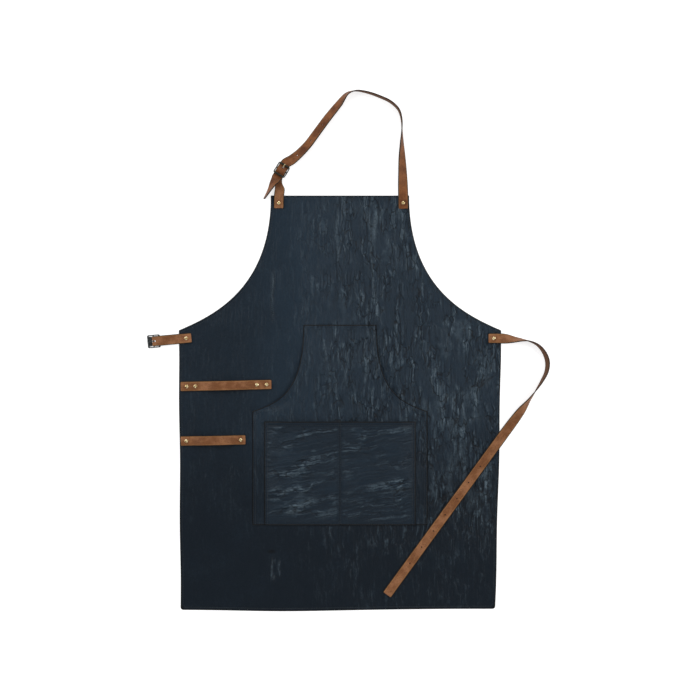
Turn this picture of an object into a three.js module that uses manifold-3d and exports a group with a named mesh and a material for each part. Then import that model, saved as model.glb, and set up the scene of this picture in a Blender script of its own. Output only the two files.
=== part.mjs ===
// A butcher apron lying flat, front up: a leatherette panel with a hem, a bib pocket with a lower pocket
// on it, two towel loops, a neck strap and a waist strap with their buckles, and the rivets that hold them.
// Millimetres. X runs across the apron, Y from the hem up to the bib, Z up out of the cloth. It is drawn
// with x = 0 on the centreline and y = 0 on the bottom edge, and moved at the end so that the origin is
// the bottom centre of the whole box.
import * as THREE from "three";
import { mergeVertices } from "three/addons/utils/BufferGeometryUtils.js";
import Module from "manifold-3d";

const wasm = await Module();
wasm.setup();

// ---- Sizes -------------------------------------------------------------------------------------------

const GAP = 0.3; // left between pieces that touch

const PANEL = {
  width: 700,
  length: 900,
  bibWidth: 300,
  thickness: 1,
  armholeDrop: 293, // from the top edge down to the waist corner
  armholeStraight: 204, // pull of the curve along the bib's side
  armholeFlare: 80, // pull of the curve at the waist corner
  waistSlope: 23.4, // degrees, of the armhole at the waist corner
  corner: 6,
  hemWidth: 8,
  hemThickness: 1,
};

const BIB_POCKET = {
  bottom: 184,
  top: 619,
  mouthStart: 431, // where the straight sewn side ends and the open curved mouth begins
  half: 190,
  topHalf: 79,
  curveTopPull: 152,
  curveSidePull: 56,
  curveSlope: 19.7,
  thickness: 1,
  rise: 5.8, // how far the cloth stands off the panel
  sideRamp: 60,
  endRamp: 95,
  mouthRamp: 45,
};

const LOWER_POCKET = { half: 164, top: 409, thickness: 1, clear: 0.6, rise: 5.6, ramp: 45, columns: 8, rows: 9 };

const STRAP = { width: 22, thickness: 2.4, corner: 3, foldThickness: 1.5 };

const RIVET = {
  capRadius: 4.15,
  capHeight: 2,
  backRadius: 3.8,
  backThickness: 0.7,
  backClearance: 0.25,
  shank: 1.5,
  hole: 1.9,
};

const BUCKLE = {
  length: 28, // along the strap
  barWidth: 4,
  railWidth: 2.3,
  sideClearance: 0.9, // between the strap's edge and each side rail
  thickness: 2.6,
  arch: 4.4, // how far the end bars stand off the centre bar's plane
  barRadius: 1.3,
  foldClearance: 0.45, // between the centre bar and the strap folded round it
  corner: 5,
};

const PRONG = { width: 2.2, thickness: 1.4, eyeRadius: 2.65, eyeClearance: 0.35, slot: 3.4 };

const NECK_TAB = { leftInset: 17.1, rightInset: 12.5, down: 16, overlap: 11.5 };
const WAIST_TAB = { inset: 15.7, down: 17, overlap: 11.5 };

// Towel loops: clear is from the pocket's half-width to the loop's right end, rivets and far are the rivets'
// distances from its left and right ends.
const UPPER_LOOP = { y: 487.4, tilt: 1.3, clear: 70, rivets: [13.6, 32.3], far: [10.4, 31.3], rise: 7 };
const LOWER_LOOP = { y: 368, tilt: 1.1, clear: 15.3, rivets: [12.6], far: [10.5], rise: 7 };
const LOOP_MARGIN = 3.6; // from the panel's side edge to the loop's left end
const LOOP_FLAT = 4; // flat beyond the last rivet's cap

const NECK_BUCKLE = { x: 6.3, y: 71.4, height: 5.4, heading: 32 }; // from the left neck rivet
const WAIST_BUCKLE = { reach: 70.6, droop: 5.4, height: 6 }; // from the left waist rivet
const FOLD_LEG = 17; // the strap end that is turned back behind the buckle

const WAIST_STRAP = { holes: 7, holePitch: 43.4, firstHole: 84.6, holeRadius: 2, pocketClear: 22, tail: 187 };
const NECK_HOLES = { pitch: 43, count: 3, radius: 2 };

// ---- Finishes ----------------------------------------------------------------------------------------

const finishes = {
  leatherette: { color: 0x212a34, roughness: 0.6, metalness: 0 },
  pocket: { color: 0x26303b, roughness: 0.6, metalness: 0 },
  strap: { color: 0x82502f, roughness: 0.55, metalness: 0 },
  brass: { color: 0xa08a55, roughness: 0.35, metalness: 1 },
  gunmetal: { color: 0x3a3a38, roughness: 0.4, metalness: 1 },
};

// ---- Helpers -----------------------------------------------------------------------------------------

const apron = new THREE.Group();

// Adds a named piece of one finish.
function piece(name, geometry, finish) {
  const mesh = new THREE.Mesh(geometry, new THREE.MeshStandardMaterial(finishes[finish]));
  mesh.name = name;
  apron.add(mesh);
}

// A closed geometry as a solid for joining and cutting, without its zero-area triangles.
function solid(geometry) {
  const bare = geometry.clone();
  bare.deleteAttribute("normal");
  bare.deleteAttribute("uv");
  const merged = mergeVertices(bare, 1e-4);
  const kept = [];
  for (let i = 0; i < merged.index.count; i += 3) {
    const [a, b, c] = [0, 1, 2].map((k) => merged.index.getX(i + k));
    if (a !== b && b !== c && c !== a) kept.push(a, b, c);
  }
  const vertProperties = new Float32Array(merged.attributes.position.array);
  return new wasm.Manifold(new wasm.Mesh({ numProp: 3, vertProperties, triVerts: new Uint32Array(kept) }));
}

// A solid back as a geometry.
function geometryOf(shape) {
  const mesh = shape.getMesh();
  const geometry = new THREE.BufferGeometry();
  geometry.setAttribute("position", new THREE.BufferAttribute(new Float32Array(mesh.vertProperties), 3));
  geometry.setIndex(new THREE.BufferAttribute(new Uint32Array(mesh.triVerts), 1));
  geometry.computeVertexNormals();
  return geometry;
}

// A geometry less the tools given.
function cut(geometry, tools) {
  return geometryOf(tools.reduce((shape, tool) => shape.subtract(solid(tool)), solid(geometry)));
}

// Moves each vertex of a geometry to place(x, y, z).
function warp(geometry, place) {
  const position = geometry.attributes.position;
  for (let i = 0; i < position.count; i++) {
    const p = place(position.getX(i), position.getY(i), position.getZ(i));
    position.setXYZ(i, p.x, p.y, p.z);
  }
  return geometry;
}

// A turned shape about a vertical axis through (x, y), from a profile of [radius, height].
function turned(profile, x, y, segments) {
  const points = profile.map(([r, z]) => new THREE.Vector2(r, z));
  return new THREE.LatheGeometry(points, segments).rotateX(Math.PI / 2).translate(x, y, 0);
}

// A vertical drill through (x, y).
function drill(radius, x, y) {
  return new THREE.CylinderGeometry(radius, radius, 60, 12).rotateX(Math.PI / 2).translate(x, y, 0);
}

const radians = THREE.MathUtils.degToRad;
const smooth = (value) => THREE.MathUtils.smoothstep(value, 0, 1);
const at = (x, y, z) => new THREE.Vector3(x, y, z);

// ---- Panel -------------------------------------------------------------------------------------------

const panelBottom = PANEL.hemThickness;
const panelTop = panelBottom + PANEL.thickness;
const waistY = PANEL.length - PANEL.armholeDrop;
const onPanel = panelTop + GAP; // underside of what lies on the panel
const strapTop = onPanel + STRAP.thickness;

// The panel's outline as points, its two bottom corners rounded to a radius.
function panelOutline(corner) {
  const half = PANEL.width / 2;
  const bib = PANEL.bibWidth / 2;
  const slope = radians(PANEL.waistSlope);
  const flareX = half - PANEL.armholeFlare * Math.cos(slope);
  const flareY = waistY + PANEL.armholeFlare * Math.sin(slope);
  const straightY = PANEL.length - PANEL.armholeStraight;
  const path = new THREE.Path();
  path.moveTo(corner - half, 0);
  path.lineTo(half - corner, 0);
  if (corner) path.absarc(half - corner, corner, corner, -Math.PI / 2, 0);
  path.lineTo(half, waistY);
  path.bezierCurveTo(flareX, flareY, bib, straightY, bib, PANEL.length);
  path.lineTo(-bib, PANEL.length);
  path.bezierCurveTo(-bib, straightY, -flareX, flareY, -half, waistY);
  path.lineTo(-half, corner);
  if (corner) path.absarc(corner - half, corner, corner, Math.PI, 1.5 * Math.PI);
  const points = path.getPoints(14);
  return points.filter((p, i) => p.distanceTo(points.at(i - 1)) > 0.01);
}

// An outline moved inwards by a distance, each corner along its mitre.
function inset(points, distance) {
  return points.map((p, i) => {
    const before = points[(i + points.length - 1) % points.length];
    const after = points[(i + 1) % points.length];
    const a = p.clone().sub(before).normalize();
    const b = after.clone().sub(p).normalize();
    const mitre = new THREE.Vector2(-a.y - b.y, a.x + b.x).normalize();
    return p.clone().addScaledVector(mitre, distance / (mitre.y * a.x - mitre.x * a.y));
  });
}

function panelGeometry(holes) {
  const face = new THREE.Shape(panelOutline(PANEL.corner));
  const hem = new THREE.Shape(panelOutline(PANEL.corner));
  hem.holes.push(new THREE.Path(inset(panelOutline(0), PANEL.hemWidth)));
  const sheet = new THREE.ExtrudeGeometry(face, { depth: PANEL.thickness, bevelEnabled: false });
  sheet.translate(0, 0, panelBottom);
  const turn = new THREE.ExtrudeGeometry(hem, { depth: panelBottom + PANEL.thickness / 2, bevelEnabled: false });
  const joined = solid(sheet).add(solid(turn));
  return cut(geometryOf(joined), holes);
}

// ---- Pockets -----------------------------------------------------------------------------------------

// Half-width and height of the bib pocket's side from the bottom edge to the top edge.
function bibPocketSide() {
  const slope = radians(BIB_POCKET.curveSlope);
  const pull = BIB_POCKET.curveSidePull;
  const mouth = new THREE.CubicBezierCurve(
    new THREE.Vector2(BIB_POCKET.half, BIB_POCKET.mouthStart),
    new THREE.Vector2(BIB_POCKET.half - pull * Math.cos(slope), BIB_POCKET.mouthStart + pull * Math.sin(slope)),
    new THREE.Vector2(BIB_POCKET.topHalf, BIB_POCKET.top - BIB_POCKET.curveTopPull),
    new THREE.Vector2(BIB_POCKET.topHalf, BIB_POCKET.top),
  );
  const side = [];
  for (let row = 0; row <= LOWER_POCKET.rows; row++) {
    const y = THREE.MathUtils.lerp(BIB_POCKET.bottom, LOWER_POCKET.top, row / LOWER_POCKET.rows);
    side.push(new THREE.Vector2(BIB_POCKET.half, y));
  }
  return side.concat(mouth.getPoints(9));
}

// Fractions of the half-width at which both pockets have their columns, so that their facets match.
function pocketColumns() {
  const inner = LOWER_POCKET.half / BIB_POCKET.half;
  const columns = [];
  for (let i = -LOWER_POCKET.columns; i <= LOWER_POCKET.columns; i++) {
    columns.push((inner * i) / LOWER_POCKET.columns);
  }
  return [-1, ...columns, 1];
}

// How far the bib pocket stands off the panel: nothing along its sewn edges, free along its two mouths.
function bibPocketRise(x, y, half) {
  const ends = Math.min((y - BIB_POCKET.bottom) / BIB_POCKET.endRamp, (BIB_POCKET.top - y) / BIB_POCKET.endRamp);
  const side = smooth((half - Math.abs(x)) / BIB_POCKET.sideRamp);
  const mouth = smooth((y - BIB_POCKET.mouthStart) / BIB_POCKET.mouthRamp);
  return BIB_POCKET.rise * smooth(ends) * THREE.MathUtils.lerp(side, 1, mouth);
}

// How far the lower pocket stands off the bib pocket: nothing along its sides, bottom and centre seam.
function lowerPocketRise(x, y) {
  const seam = Math.min(Math.abs(x), LOWER_POCKET.half - Math.abs(x)) / LOWER_POCKET.ramp;
  return LOWER_POCKET.rise * smooth(seam) * smooth((y - BIB_POCKET.bottom) / (2 * LOWER_POCKET.ramp));
}

// A sheet on a grid of rows and columns, with its underside at height(x, y, half).
function pocketGeometry(side, columns, thickness, height) {
  const grid = new THREE.BoxGeometry(1, 1, 1, columns.length - 1, side.length - 1, 1);
  return warp(grid, (u, v, w) => {
    const row = side[Math.round((v + 0.5) * (side.length - 1))];
    const x = columns[Math.round((u + 0.5) * (columns.length - 1))] * row.x;
    return at(x, row.y, height(x, row.y, row.x) + (w > 0 ? thickness : 0));
  });
}

function addPockets() {
  const side = bibPocketSide();
  const columns = pocketColumns();
  const bibUnderside = (x, y, half) => onPanel + bibPocketRise(x, y, half);
  piece("bib_pocket", pocketGeometry(side, columns, BIB_POCKET.thickness, bibUnderside), "pocket");
  const lowerUnderside = (x, y, half) =>
    bibUnderside(x, y, half) + BIB_POCKET.thickness + LOWER_POCKET.clear + lowerPocketRise(x, y);
  const lower = pocketGeometry(
    side.slice(0, LOWER_POCKET.rows + 1),
    columns.slice(1, -1),
    LOWER_POCKET.thickness,
    lowerUnderside,
  );
  piece("lower_pocket", lower, "pocket");
}

// ---- Straps ------------------------------------------------------------------------------------------

// Distances along a strap of a given length, closer together round its cut corners.
function stations(length, steps) {
  const ends = [0, 0.15, 0.45, 1].map((share) => share * STRAP.corner);
  const inner = length - 2 * STRAP.corner;
  const middle = Array.from({ length: steps - 1 }, (_, i) => STRAP.corner + (inner * (i + 1)) / steps);
  return [...ends, ...middle, ...ends.map((d) => length - d).reverse()];
}

// Share of the full half-width at a distance from a strap's end, for quarter-round corners.
function taper(distance) {
  const r = STRAP.corner;
  const d = Math.min(distance, r);
  return 1 - (r - Math.sqrt(r * r - (r - d) * (r - d))) / (STRAP.width / 2);
}

// A flat strap along a curve. across(share, tangent) is the direction of its width there.
function strapGeometry(curve, across, steps, thicknessAt = () => STRAP.thickness) {
  curve.arcLengthDivisions = 400;
  const length = curve.getLength();
  const places = stations(length, steps);
  const grid = new THREE.BoxGeometry(1, 1, 1, places.length - 1, 1, 1);
  return warp(grid, (u, v, w) => {
    const s = places[Math.round((u + 0.5) * (places.length - 1))];
    const share = s / length;
    const tangent = curve.getTangentAt(share);
    const side = across(share, tangent);
    const face = new THREE.Vector3().crossVectors(tangent, side).normalize();
    const width = STRAP.width * taper(Math.min(s, length - s));
    return curve
      .getPointAt(share)
      .addScaledVector(side, v * width)
      .addScaledVector(face, w * thicknessAt(s, length));
  });
}

// A strap's middle line, from rows of [x, y, lean in degrees, height of what it lies on]. At a lean of 0 it
// lies face up and at 90 it stands on edge, its face turned to the outer side: 1 is right of the way it runs.
class Route extends THREE.Curve {
  constructor(rows, outer) {
    super();
    this.outer = outer;
    this.ground = new THREE.CatmullRomCurve3(rows.map(([x, y, , ground]) => at(x, y, ground)));
    this.leans = new THREE.CatmullRomCurve3(rows.map((row) => at(radians(row[2]), 0, 0)), false, "catmullrom");
    this.arcLengthDivisions = 400;
    this.across = this.across.bind(this);
  }

  getPoint(t, target = new THREE.Vector3()) {
    const lean = this.leans.getPoint(t).x;
    const half = (STRAP.width * Math.abs(Math.sin(lean)) + STRAP.thickness * Math.abs(Math.cos(lean))) / 2;
    const p = this.ground.getPoint(t);
    return target.set(p.x, p.y, Math.max(p.z, 0) + GAP + half);
  }

  lean(share) {
    return this.leans.getPoint(this.getUtoTmapping(share)).x;
  }

  across(share, tangent) {
    const right = new THREE.Vector3().crossVectors(tangent, at(0, 0, 1)).normalize();
    const up = new THREE.Vector3().crossVectors(right, tangent);
    const lean = this.lean(share);
    return right.multiplyScalar(-Math.cos(lean)).addScaledVector(up, this.outer * Math.sin(lean));
  }

  // A round drill through the strap at a distance along it, longer along the strap where asked.
  drill(distance, radius, stretch = 1) {
    const share = distance / this.getLength();
    const tangent = this.getTangentAt(share);
    const side = this.across(share, tangent);
    const face = new THREE.Vector3().crossVectors(tangent, side);
    const p = this.getPointAt(share);
    const place = new THREE.Matrix4().makeBasis(tangent, side, face).setPosition(p);
    return new THREE.CylinderGeometry(radius, radius, 4 * STRAP.thickness, 12)
      .rotateX(Math.PI / 2)
      .scale(stretch, 1, 1)
      .applyMatrix4(place);
  }
}

// ---- Rivets ------------------------------------------------------------------------------------------

// A two-part rivet through a strap that lies on the panel: a post with its back cap, and the domed cap.
function addRivet(name, x, y) {
  const capBase = strapTop + GAP;
  const backTop = panelBottom - RIVET.backClearance;
  const shankTop = capBase + 0.45 * RIVET.capHeight;
  const backEdge = backTop - RIVET.backThickness;
  const post = [
    [0, backEdge],
    [RIVET.backRadius, backEdge],
    [RIVET.backRadius, backTop],
    [RIVET.shank, backTop],
    [RIVET.shank, shankTop],
    [0, shankTop],
  ];
  const socket = shankTop + GAP;
  const cap = [
    [0, socket],
    [RIVET.hole, socket],
    [RIVET.hole, capBase],
    [RIVET.capRadius, capBase],
    [RIVET.capRadius, capBase + 0.25 * RIVET.capHeight],
    [0.87 * RIVET.capRadius, capBase + 0.6 * RIVET.capHeight],
    [0.5 * RIVET.capRadius, capBase + 0.9 * RIVET.capHeight],
    [0, capBase + RIVET.capHeight],
  ];
  piece("rivet_post_" + name, turned(post, x, y, 10), "brass");
  piece("rivet_cap_" + name, turned(cap, x, y, 12), "brass");
}

// ---- Towel loops -------------------------------------------------------------------------------------

// A strip riveted flat at both ends and arched between them, tilted about its own middle.
function addTowelLoop(name, loop, pocketHalf) {
  const left = -PANEL.width / 2 + LOOP_MARGIN;
  const right = -pocketHalf - loop.clear;
  const middle = (left + right) / 2;
  const tilt = radians(loop.tilt);
  const flatLeft = Math.max(...loop.rivets) + RIVET.capRadius + LOOP_FLAT;
  const flatRight = Math.max(...loop.far) + RIVET.capRadius + LOOP_FLAT;
  const length = right - left;
  const points = Array.from({ length: 25 }, (_, i) => {
    const s = (length * i) / 24;
    const share = THREE.MathUtils.clamp((s - flatLeft) / (length - flatLeft - flatRight), 0, 1);
    const lift = loop.rise * smooth(Math.min(1, 3 * Math.min(share, 1 - share)));
    const z = onPanel + STRAP.thickness / 2 + lift;
    return at(left + s, loop.y + Math.tan(tilt) * (left + s - middle), z);
  });
  const width = at(-Math.sin(tilt), Math.cos(tilt), 0);
  const strip = strapGeometry(new THREE.CatmullRomCurve3(points), () => width.clone(), 26);
  const rivets = [...loop.rivets.map((d) => left + d), ...[...loop.far].reverse().map((d) => right - d)];
  const places = rivets.map((x) => [x, loop.y + Math.tan(tilt) * (x - middle)]);
  piece(name, cut(strip, places.map(([x, y]) => drill(RIVET.hole, x, y))), "strap");
  places.forEach(([x, y], i) => addRivet(`${name}_${i + 1}`, x, y));
  return places;
}

// ---- Buckles -----------------------------------------------------------------------------------------

// The frame, prong and strap fold of one buckle share its centre bar. forward is the way its front points
// in plan, and flipped is true where the frame lies upside down, with its end bars below the centre bar.
class Buckle {
  constructor(name, centre, heading, flipped) {
    this.name = name;
    this.centre = centre;
    this.forward = at(Math.sin(heading), Math.cos(heading), 0);
    this.side = at(Math.cos(heading), -Math.sin(heading), 0);
    this.flip = flipped ? -1 : 1;
  }

  // A point at a distance forward of the centre bar, to its right, and above it.
  place(forward, right, up) {
    return this.centre
      .clone()
      .addScaledVector(this.forward, forward)
      .addScaledVector(this.side, right)
      .add(at(0, 0, up));
  }

  basis() {
    return new THREE.Matrix4().makeBasis(this.side, this.forward, at(0, 0, 1)).setPosition(this.centre);
  }

  addFrame() {
    const halfWidth = (STRAP.width + BUCKLE.railWidth) / 2 + BUCKLE.sideClearance;
    const halfLength = (BUCKLE.length - BUCKLE.barWidth) / 2;
    const r = BUCKLE.corner - BUCKLE.railWidth / 2;
    const outline = new THREE.Path();
    outline.moveTo(halfWidth, 0);
    outline.lineTo(halfWidth, halfLength - r);
    outline.absarc(halfWidth - r, halfLength - r, r, 0, Math.PI / 2);
    outline.absarc(r - halfWidth, halfLength - r, r, Math.PI / 2, Math.PI);
    outline.absarc(r - halfWidth, r - halfLength, r, Math.PI, 1.5 * Math.PI);
    outline.absarc(halfWidth - r, r - halfLength, r, 1.5 * Math.PI, 2 * Math.PI);
    outline.lineTo(halfWidth, 0);
    const ring = warp(new THREE.TorusGeometry(10, 1, 6, 36), (x, y, z) => {
      const share = (Math.atan2(y, x) / (2 * Math.PI) + 1) % 1;
      const p = outline.getPointAt(share);
      const along = outline.getTangentAt(share);
      const bar = smooth((Math.abs(p.y) - halfLength + r) / r);
      const thick = THREE.MathUtils.lerp(BUCKLE.railWidth, BUCKLE.barWidth, bar) / 2;
      const out = (Math.hypot(x, y) - 10) * thick;
      const arch = this.flip * BUCKLE.arch * (p.y / halfLength) ** 2;
      return at(p.x + along.y * out, p.y - along.x * out, (z * BUCKLE.thickness) / 2 + arch);
    });
    const bar = new THREE.CylinderGeometry(BUCKLE.barRadius, BUCKLE.barRadius, 2 * halfWidth, 12);
    bar.rotateZ(Math.PI / 2);
    const frame = geometryOf(solid(ring).add(solid(bar)));
    piece(this.name + "_buckle_frame", frame.applyMatrix4(this.basis()), "gunmetal");
  }

  // The prong turns on the centre bar and lies along rows of [forward, up].
  addProng(rows) {
    const inner = BUCKLE.barRadius + PRONG.eyeClearance;
    const eye = turned(
      [
        [inner, -PRONG.width / 2],
        [PRONG.eyeRadius, -PRONG.width / 2],
        [PRONG.eyeRadius, PRONG.width / 2],
        [inner, PRONG.width / 2],
        [inner, -PRONG.width / 2],
      ],
      0,
      0,
      16,
    ).rotateY(Math.PI / 2);
    const curve = new THREE.CatmullRomCurve3(rows.map(([forward, up]) => at(0, forward, up)));
    const shank = warp(new THREE.BoxGeometry(1, 1, 1, 1, 10, 1), (u, v, w) => {
      const share = v + 0.5;
      const tangent = curve.getTangentAt(share);
      const tip = 1 - 0.35 * smooth((share - 0.7) / 0.3);
      const face = at(0, -tangent.z, tangent.y);
      return curve
        .getPointAt(share)
        .addScaledVector(face, w * PRONG.thickness * tip)
        .add(at(u * PRONG.width * tip, 0, 0));
    });
    const prong = geometryOf(solid(eye).add(solid(shank)));
    piece(this.name + "_buckle_prong", prong.applyMatrix4(this.basis()), "brass");
  }

  // The slot in the fold of the strap that the prong's eye stands in.
  slot() {
    const reach = BUCKLE.barRadius + STRAP.foldThickness + 2;
    return new THREE.BoxGeometry(PRONG.slot, 2 * reach, 4 * reach).applyMatrix4(this.basis());
  }
}

// A buckle strap: a riveted tab, a run up to the buckle, round its centre bar and a short leg turned back.
// rows are [behind the bar, up from it] for the run beside the fold, nearest last.
function addBuckleStrap(name, buckle, rivet, tabEnd, rows, legRows) {
  const radius = BUCKLE.barRadius + BUCKLE.foldClearance + STRAP.foldThickness / 2;
  const flat = onPanel + STRAP.thickness / 2;
  const run = at(rivet.x - tabEnd.x, rivet.y - tabEnd.y, 0).normalize();
  const toRivet = at(rivet.x - buckle.centre.x, rivet.y - buckle.centre.y, 0).normalize();
  const bent = (behind) => {
    const straight = buckle.place(-behind, 0, 0);
    const direct = buckle.centre.clone().addScaledVector(toRivet, behind);
    return straight.lerp(direct, smooth((behind - 12) / 30));
  };
  const points = [
    at(tabEnd.x, tabEnd.y, flat),
    at(rivet.x, rivet.y, flat),
    at(rivet.x, rivet.y, flat).addScaledVector(run, 8),
    at(rivet.x, rivet.y, flat).addScaledVector(run, 16),
    ...rows.map(([behind, up]) => bent(behind).setZ(buckle.centre.z + up)),
    ...[90, 45, 0, -45, -90].map((angle) =>
      buckle.place(radius * Math.cos(radians(angle)), 0, radius * Math.sin(radians(angle))),
    ),
    ...legRows.map(([behind, up]) => buckle.place(-behind, 0, up)),
  ];
  const curve = new THREE.CatmullRomCurve3(points);
  const tabSide = at(run.y, -run.x, 0);
  const length = curve.getLength();
  const foldStart = length - FOLD_LEG - 3 * radius;
  const across = (share) => {
    const turn = smooth((share * length - 20) / (foldStart - 35));
    return tabSide.clone().lerp(buckle.side, turn).normalize().negate();
  };
  const thin = (s) => THREE.MathUtils.lerp(STRAP.thickness, STRAP.foldThickness, smooth((s - foldStart + 26) / 12));
  const strip = strapGeometry(curve, across, 72, thin);
  piece(name, cut(strip, [drill(RIVET.hole, rivet.x, rivet.y), buckle.slot()]), "strap");
}

// ---- Waist, left: a short strap that carries a buckle ------------------------------------------------

const rivetLeft = at(-PANEL.width / 2 + WAIST_TAB.inset, waistY - WAIST_TAB.down, 0);
const droop = radians(WAIST_BUCKLE.droop);
const waistForward = at(-Math.cos(droop), -Math.sin(droop), 0);
const waistBuckle = new Buckle(
  "waist",
  rivetLeft.clone().addScaledVector(waistForward, WAIST_BUCKLE.reach).setZ(WAIST_BUCKLE.height),
  Math.atan2(waistForward.x, waistForward.y),
  true,
);
waistBuckle.addFrame();
waistBuckle.addProng([
  [2, 0],
  [6, -0.3],
  [10, -1.5],
  [14.2, -2],
]);
addBuckleStrap(
  "waist_buckle_strap",
  waistBuckle,
  rivetLeft,
  rivetLeft.clone().addScaledVector(waistForward, -WAIST_TAB.overlap),
  [
    [28, 0.6],
    [12, 1.9],
    [5, 2.4],
  ],
  [
    [5, -1.8],
    [9, -0.9],
    [FOLD_LEG, -0.6],
  ],
);
addRivet("waist_left", rivetLeft.x, rivetLeft.y);

// ---- Waist, right: the long strap with its holes -----------------------------------------------------

const rivetRight = at(PANEL.width / 2 - WAIST_TAB.inset, waistY - WAIST_TAB.down, 0);

// The strap leaves its tab, stands on edge round a loose bend, and lies down again on the panel, where it
// runs straight past the bib pocket's lower corner.
function waistRoute() {
  const from = (x, y, lean, ground) => [rivetRight.x + x, rivetRight.y + y, lean, ground];
  const bendEnd = new THREE.Vector2(rivetRight.x + 83, rivetRight.y - 124);
  const pass = new THREE.Vector2(BIB_POCKET.half + WAIST_STRAP.pocketClear, BIB_POCKET.bottom);
  const run = pass.clone().sub(bendEnd).normalize();
  const along = (distance) => bendEnd.clone().addScaledVector(run, distance);
  const tail = bendEnd.distanceTo(pass) + WAIST_STRAP.tail;
  const ahead = [14, 42, 82, 122].map(along);
  const stops = [0.35, 0.55, 0.78, 1].map((share) => along(tail * share));
  return new Route(
    [
      from(-WAIST_TAB.overlap, 0, 0, panelTop),
      from(0, 0, 0, panelTop),
      from(12, -0.3, 0, panelTop),
      from(20, -0.7, 6, panelTop),
      from(41, -2.8, 50, 0.6),
      from(60, -3.7, 76, 0),
      from(76, -6.2, 90, 0),
      from(94.8, -15, 97, 0),
      from(108.3, -30.7, 104, 0),
      from(115.5, -50.5, 107, 0),
      from(113.6, -72, 103, 0),
      from(103.6, -92.8, 97, 0),
      from(91, -112.5, 86, 0),
      [ahead[0].x, ahead[0].y, 68, 0],
      [ahead[1].x, ahead[1].y, 32, panelTop],
      [ahead[2].x, ahead[2].y, 8, panelTop],
      [ahead[3].x, ahead[3].y, 0, panelTop],
      ...stops.map((p) => [p.x, p.y, 0, panelTop]),
    ],
    -1,
  );
}

function addWaistStrap() {
  const route = waistRoute();
  const length = route.getLength();
  const holes = Array.from({ length: WAIST_STRAP.holes }, (_, i) =>
    route.drill(length - WAIST_STRAP.firstHole - i * WAIST_STRAP.holePitch, WAIST_STRAP.holeRadius),
  );
  const strip = strapGeometry(route, route.across, 84);
  piece("waist_strap", cut(strip, [drill(RIVET.hole, rivetRight.x, rivetRight.y), ...holes]), "strap");
  addRivet("waist_right", rivetRight.x, rivetRight.y);
}

// ---- Neck: the buckle on its short strap, and the long strap through it -------------------------------

const neckLeft = at(-PANEL.bibWidth / 2 + NECK_TAB.leftInset, PANEL.length - NECK_TAB.down, 0);
const neckRight = at(PANEL.bibWidth / 2 - NECK_TAB.rightInset, PANEL.length - NECK_TAB.down, 0);
const neckBuckle = new Buckle(
  "neck",
  at(neckLeft.x + NECK_BUCKLE.x, neckLeft.y + NECK_BUCKLE.y, NECK_BUCKLE.height),
  radians(NECK_BUCKLE.heading),
  false,
);

// Height of the neck strap's middle above the centre bar, as it passes under the front bar, over the fold
// and under the rear bar, and of the short strap's middle where it runs below it.
const UNDER_BAR = 0.3;
const BESIDE_BAR = 0.5;
const OVER_FOLD = BUCKLE.barRadius + BUCKLE.foldClearance + STRAP.foldThickness + STRAP.thickness / 2 + 0.5;
const BELOW_STRAP = UNDER_BAR - STRAP.thickness / 2 - GAP - STRAP.foldThickness / 2;

neckBuckle.addFrame();
neckBuckle.addProng([
  [2, 0.6],
  [4, 1.5],
  [6.5, 3.6],
  [9.6, 6.1],
  [12.6, 6.8],
  [14.8, 6.7],
]);
addBuckleStrap(
  "neck_buckle_strap",
  neckBuckle,
  neckLeft,
  neckLeft.clone().add(at(-0.3, -NECK_TAB.overlap, 0)),
  [
    [38, -1.7],
    [27, -1.9],
    [17, BELOW_STRAP - 0.15],
    [12, BELOW_STRAP - 0.05],
    [6, -0.6],
    [3, 1.3],
  ],
  [
    [5, -2.7],
    [10, -3.7],
    [FOLD_LEG, -3.9],
  ],
);
addRivet("neck_left", neckLeft.x, neckLeft.y);

// The strap leaves the right tab, turns on edge round the top of the loop, lies back down to the buckle,
// passes through it, and its tail turns nearly on edge.
function neckRoute() {
  const right = (x, y, lean, ground) => [neckRight.x + x, neckRight.y + y, lean, ground];
  const near = (x, y, lean, ground = 0) => [neckBuckle.centre.x + x, neckBuckle.centre.y + y, lean, ground];
  const through = (forward, above) => {
    const p = neckBuckle.place(forward, 0, above - GAP - STRAP.thickness / 2);
    return [p.x, p.y, 0, p.z];
  };
  const approach = [
    right(0.3, -NECK_TAB.overlap - 1, 0, panelTop),
    right(0, 0, 0, panelTop),
    right(-0.1, 12, 0, panelTop),
    right(-0.5, 25, 6, panelTop),
    right(-1.5, 62, 28, 0),
    right(-2.8, 98, 48, 0),
    right(-3.2, 130, 70, 0),
    right(-3, 156, 86, 0),
    right(-3.8, 180, 92, 0),
    right(-10, 201, 94, 0),
    right(-27, 218, 94, 0),
    right(-53, 230.5, 93, 0),
    right(-80, 239.5, 90, 0),
    right(-103, 242.6, 84, 0),
    right(-121, 237, 70, 0),
    near(124.5, 143, 46),
    near(102, 115.4, 30),
    near(79, 84.6, 24),
    near(57, 55, 20),
    near(36, 33.5, 14),
    near(22, 22.5, 8),
  ];
  const slope = [UNDER_BAR + 0.5, UNDER_BAR, BESIDE_BAR, 0.62 * OVER_FOLD];
  const heights = [...slope, OVER_FOLD, ...slope.toReversed(), 3.4];
  const buckled = [17, 12, 9, 5, 0, -5, -9, -12, -17, -22].map((forward, i) => through(forward, heights[i]));
  buckled.at(-1)[2] = 16;
  const tail = [near(-16.5, -26, 38, 1.2), near(-24, -40, 62), near(-32, -54, 74), near(-38, -63.5, 80)];
  return new Route([...approach, ...buckled, ...tail], 1);
}

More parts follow.
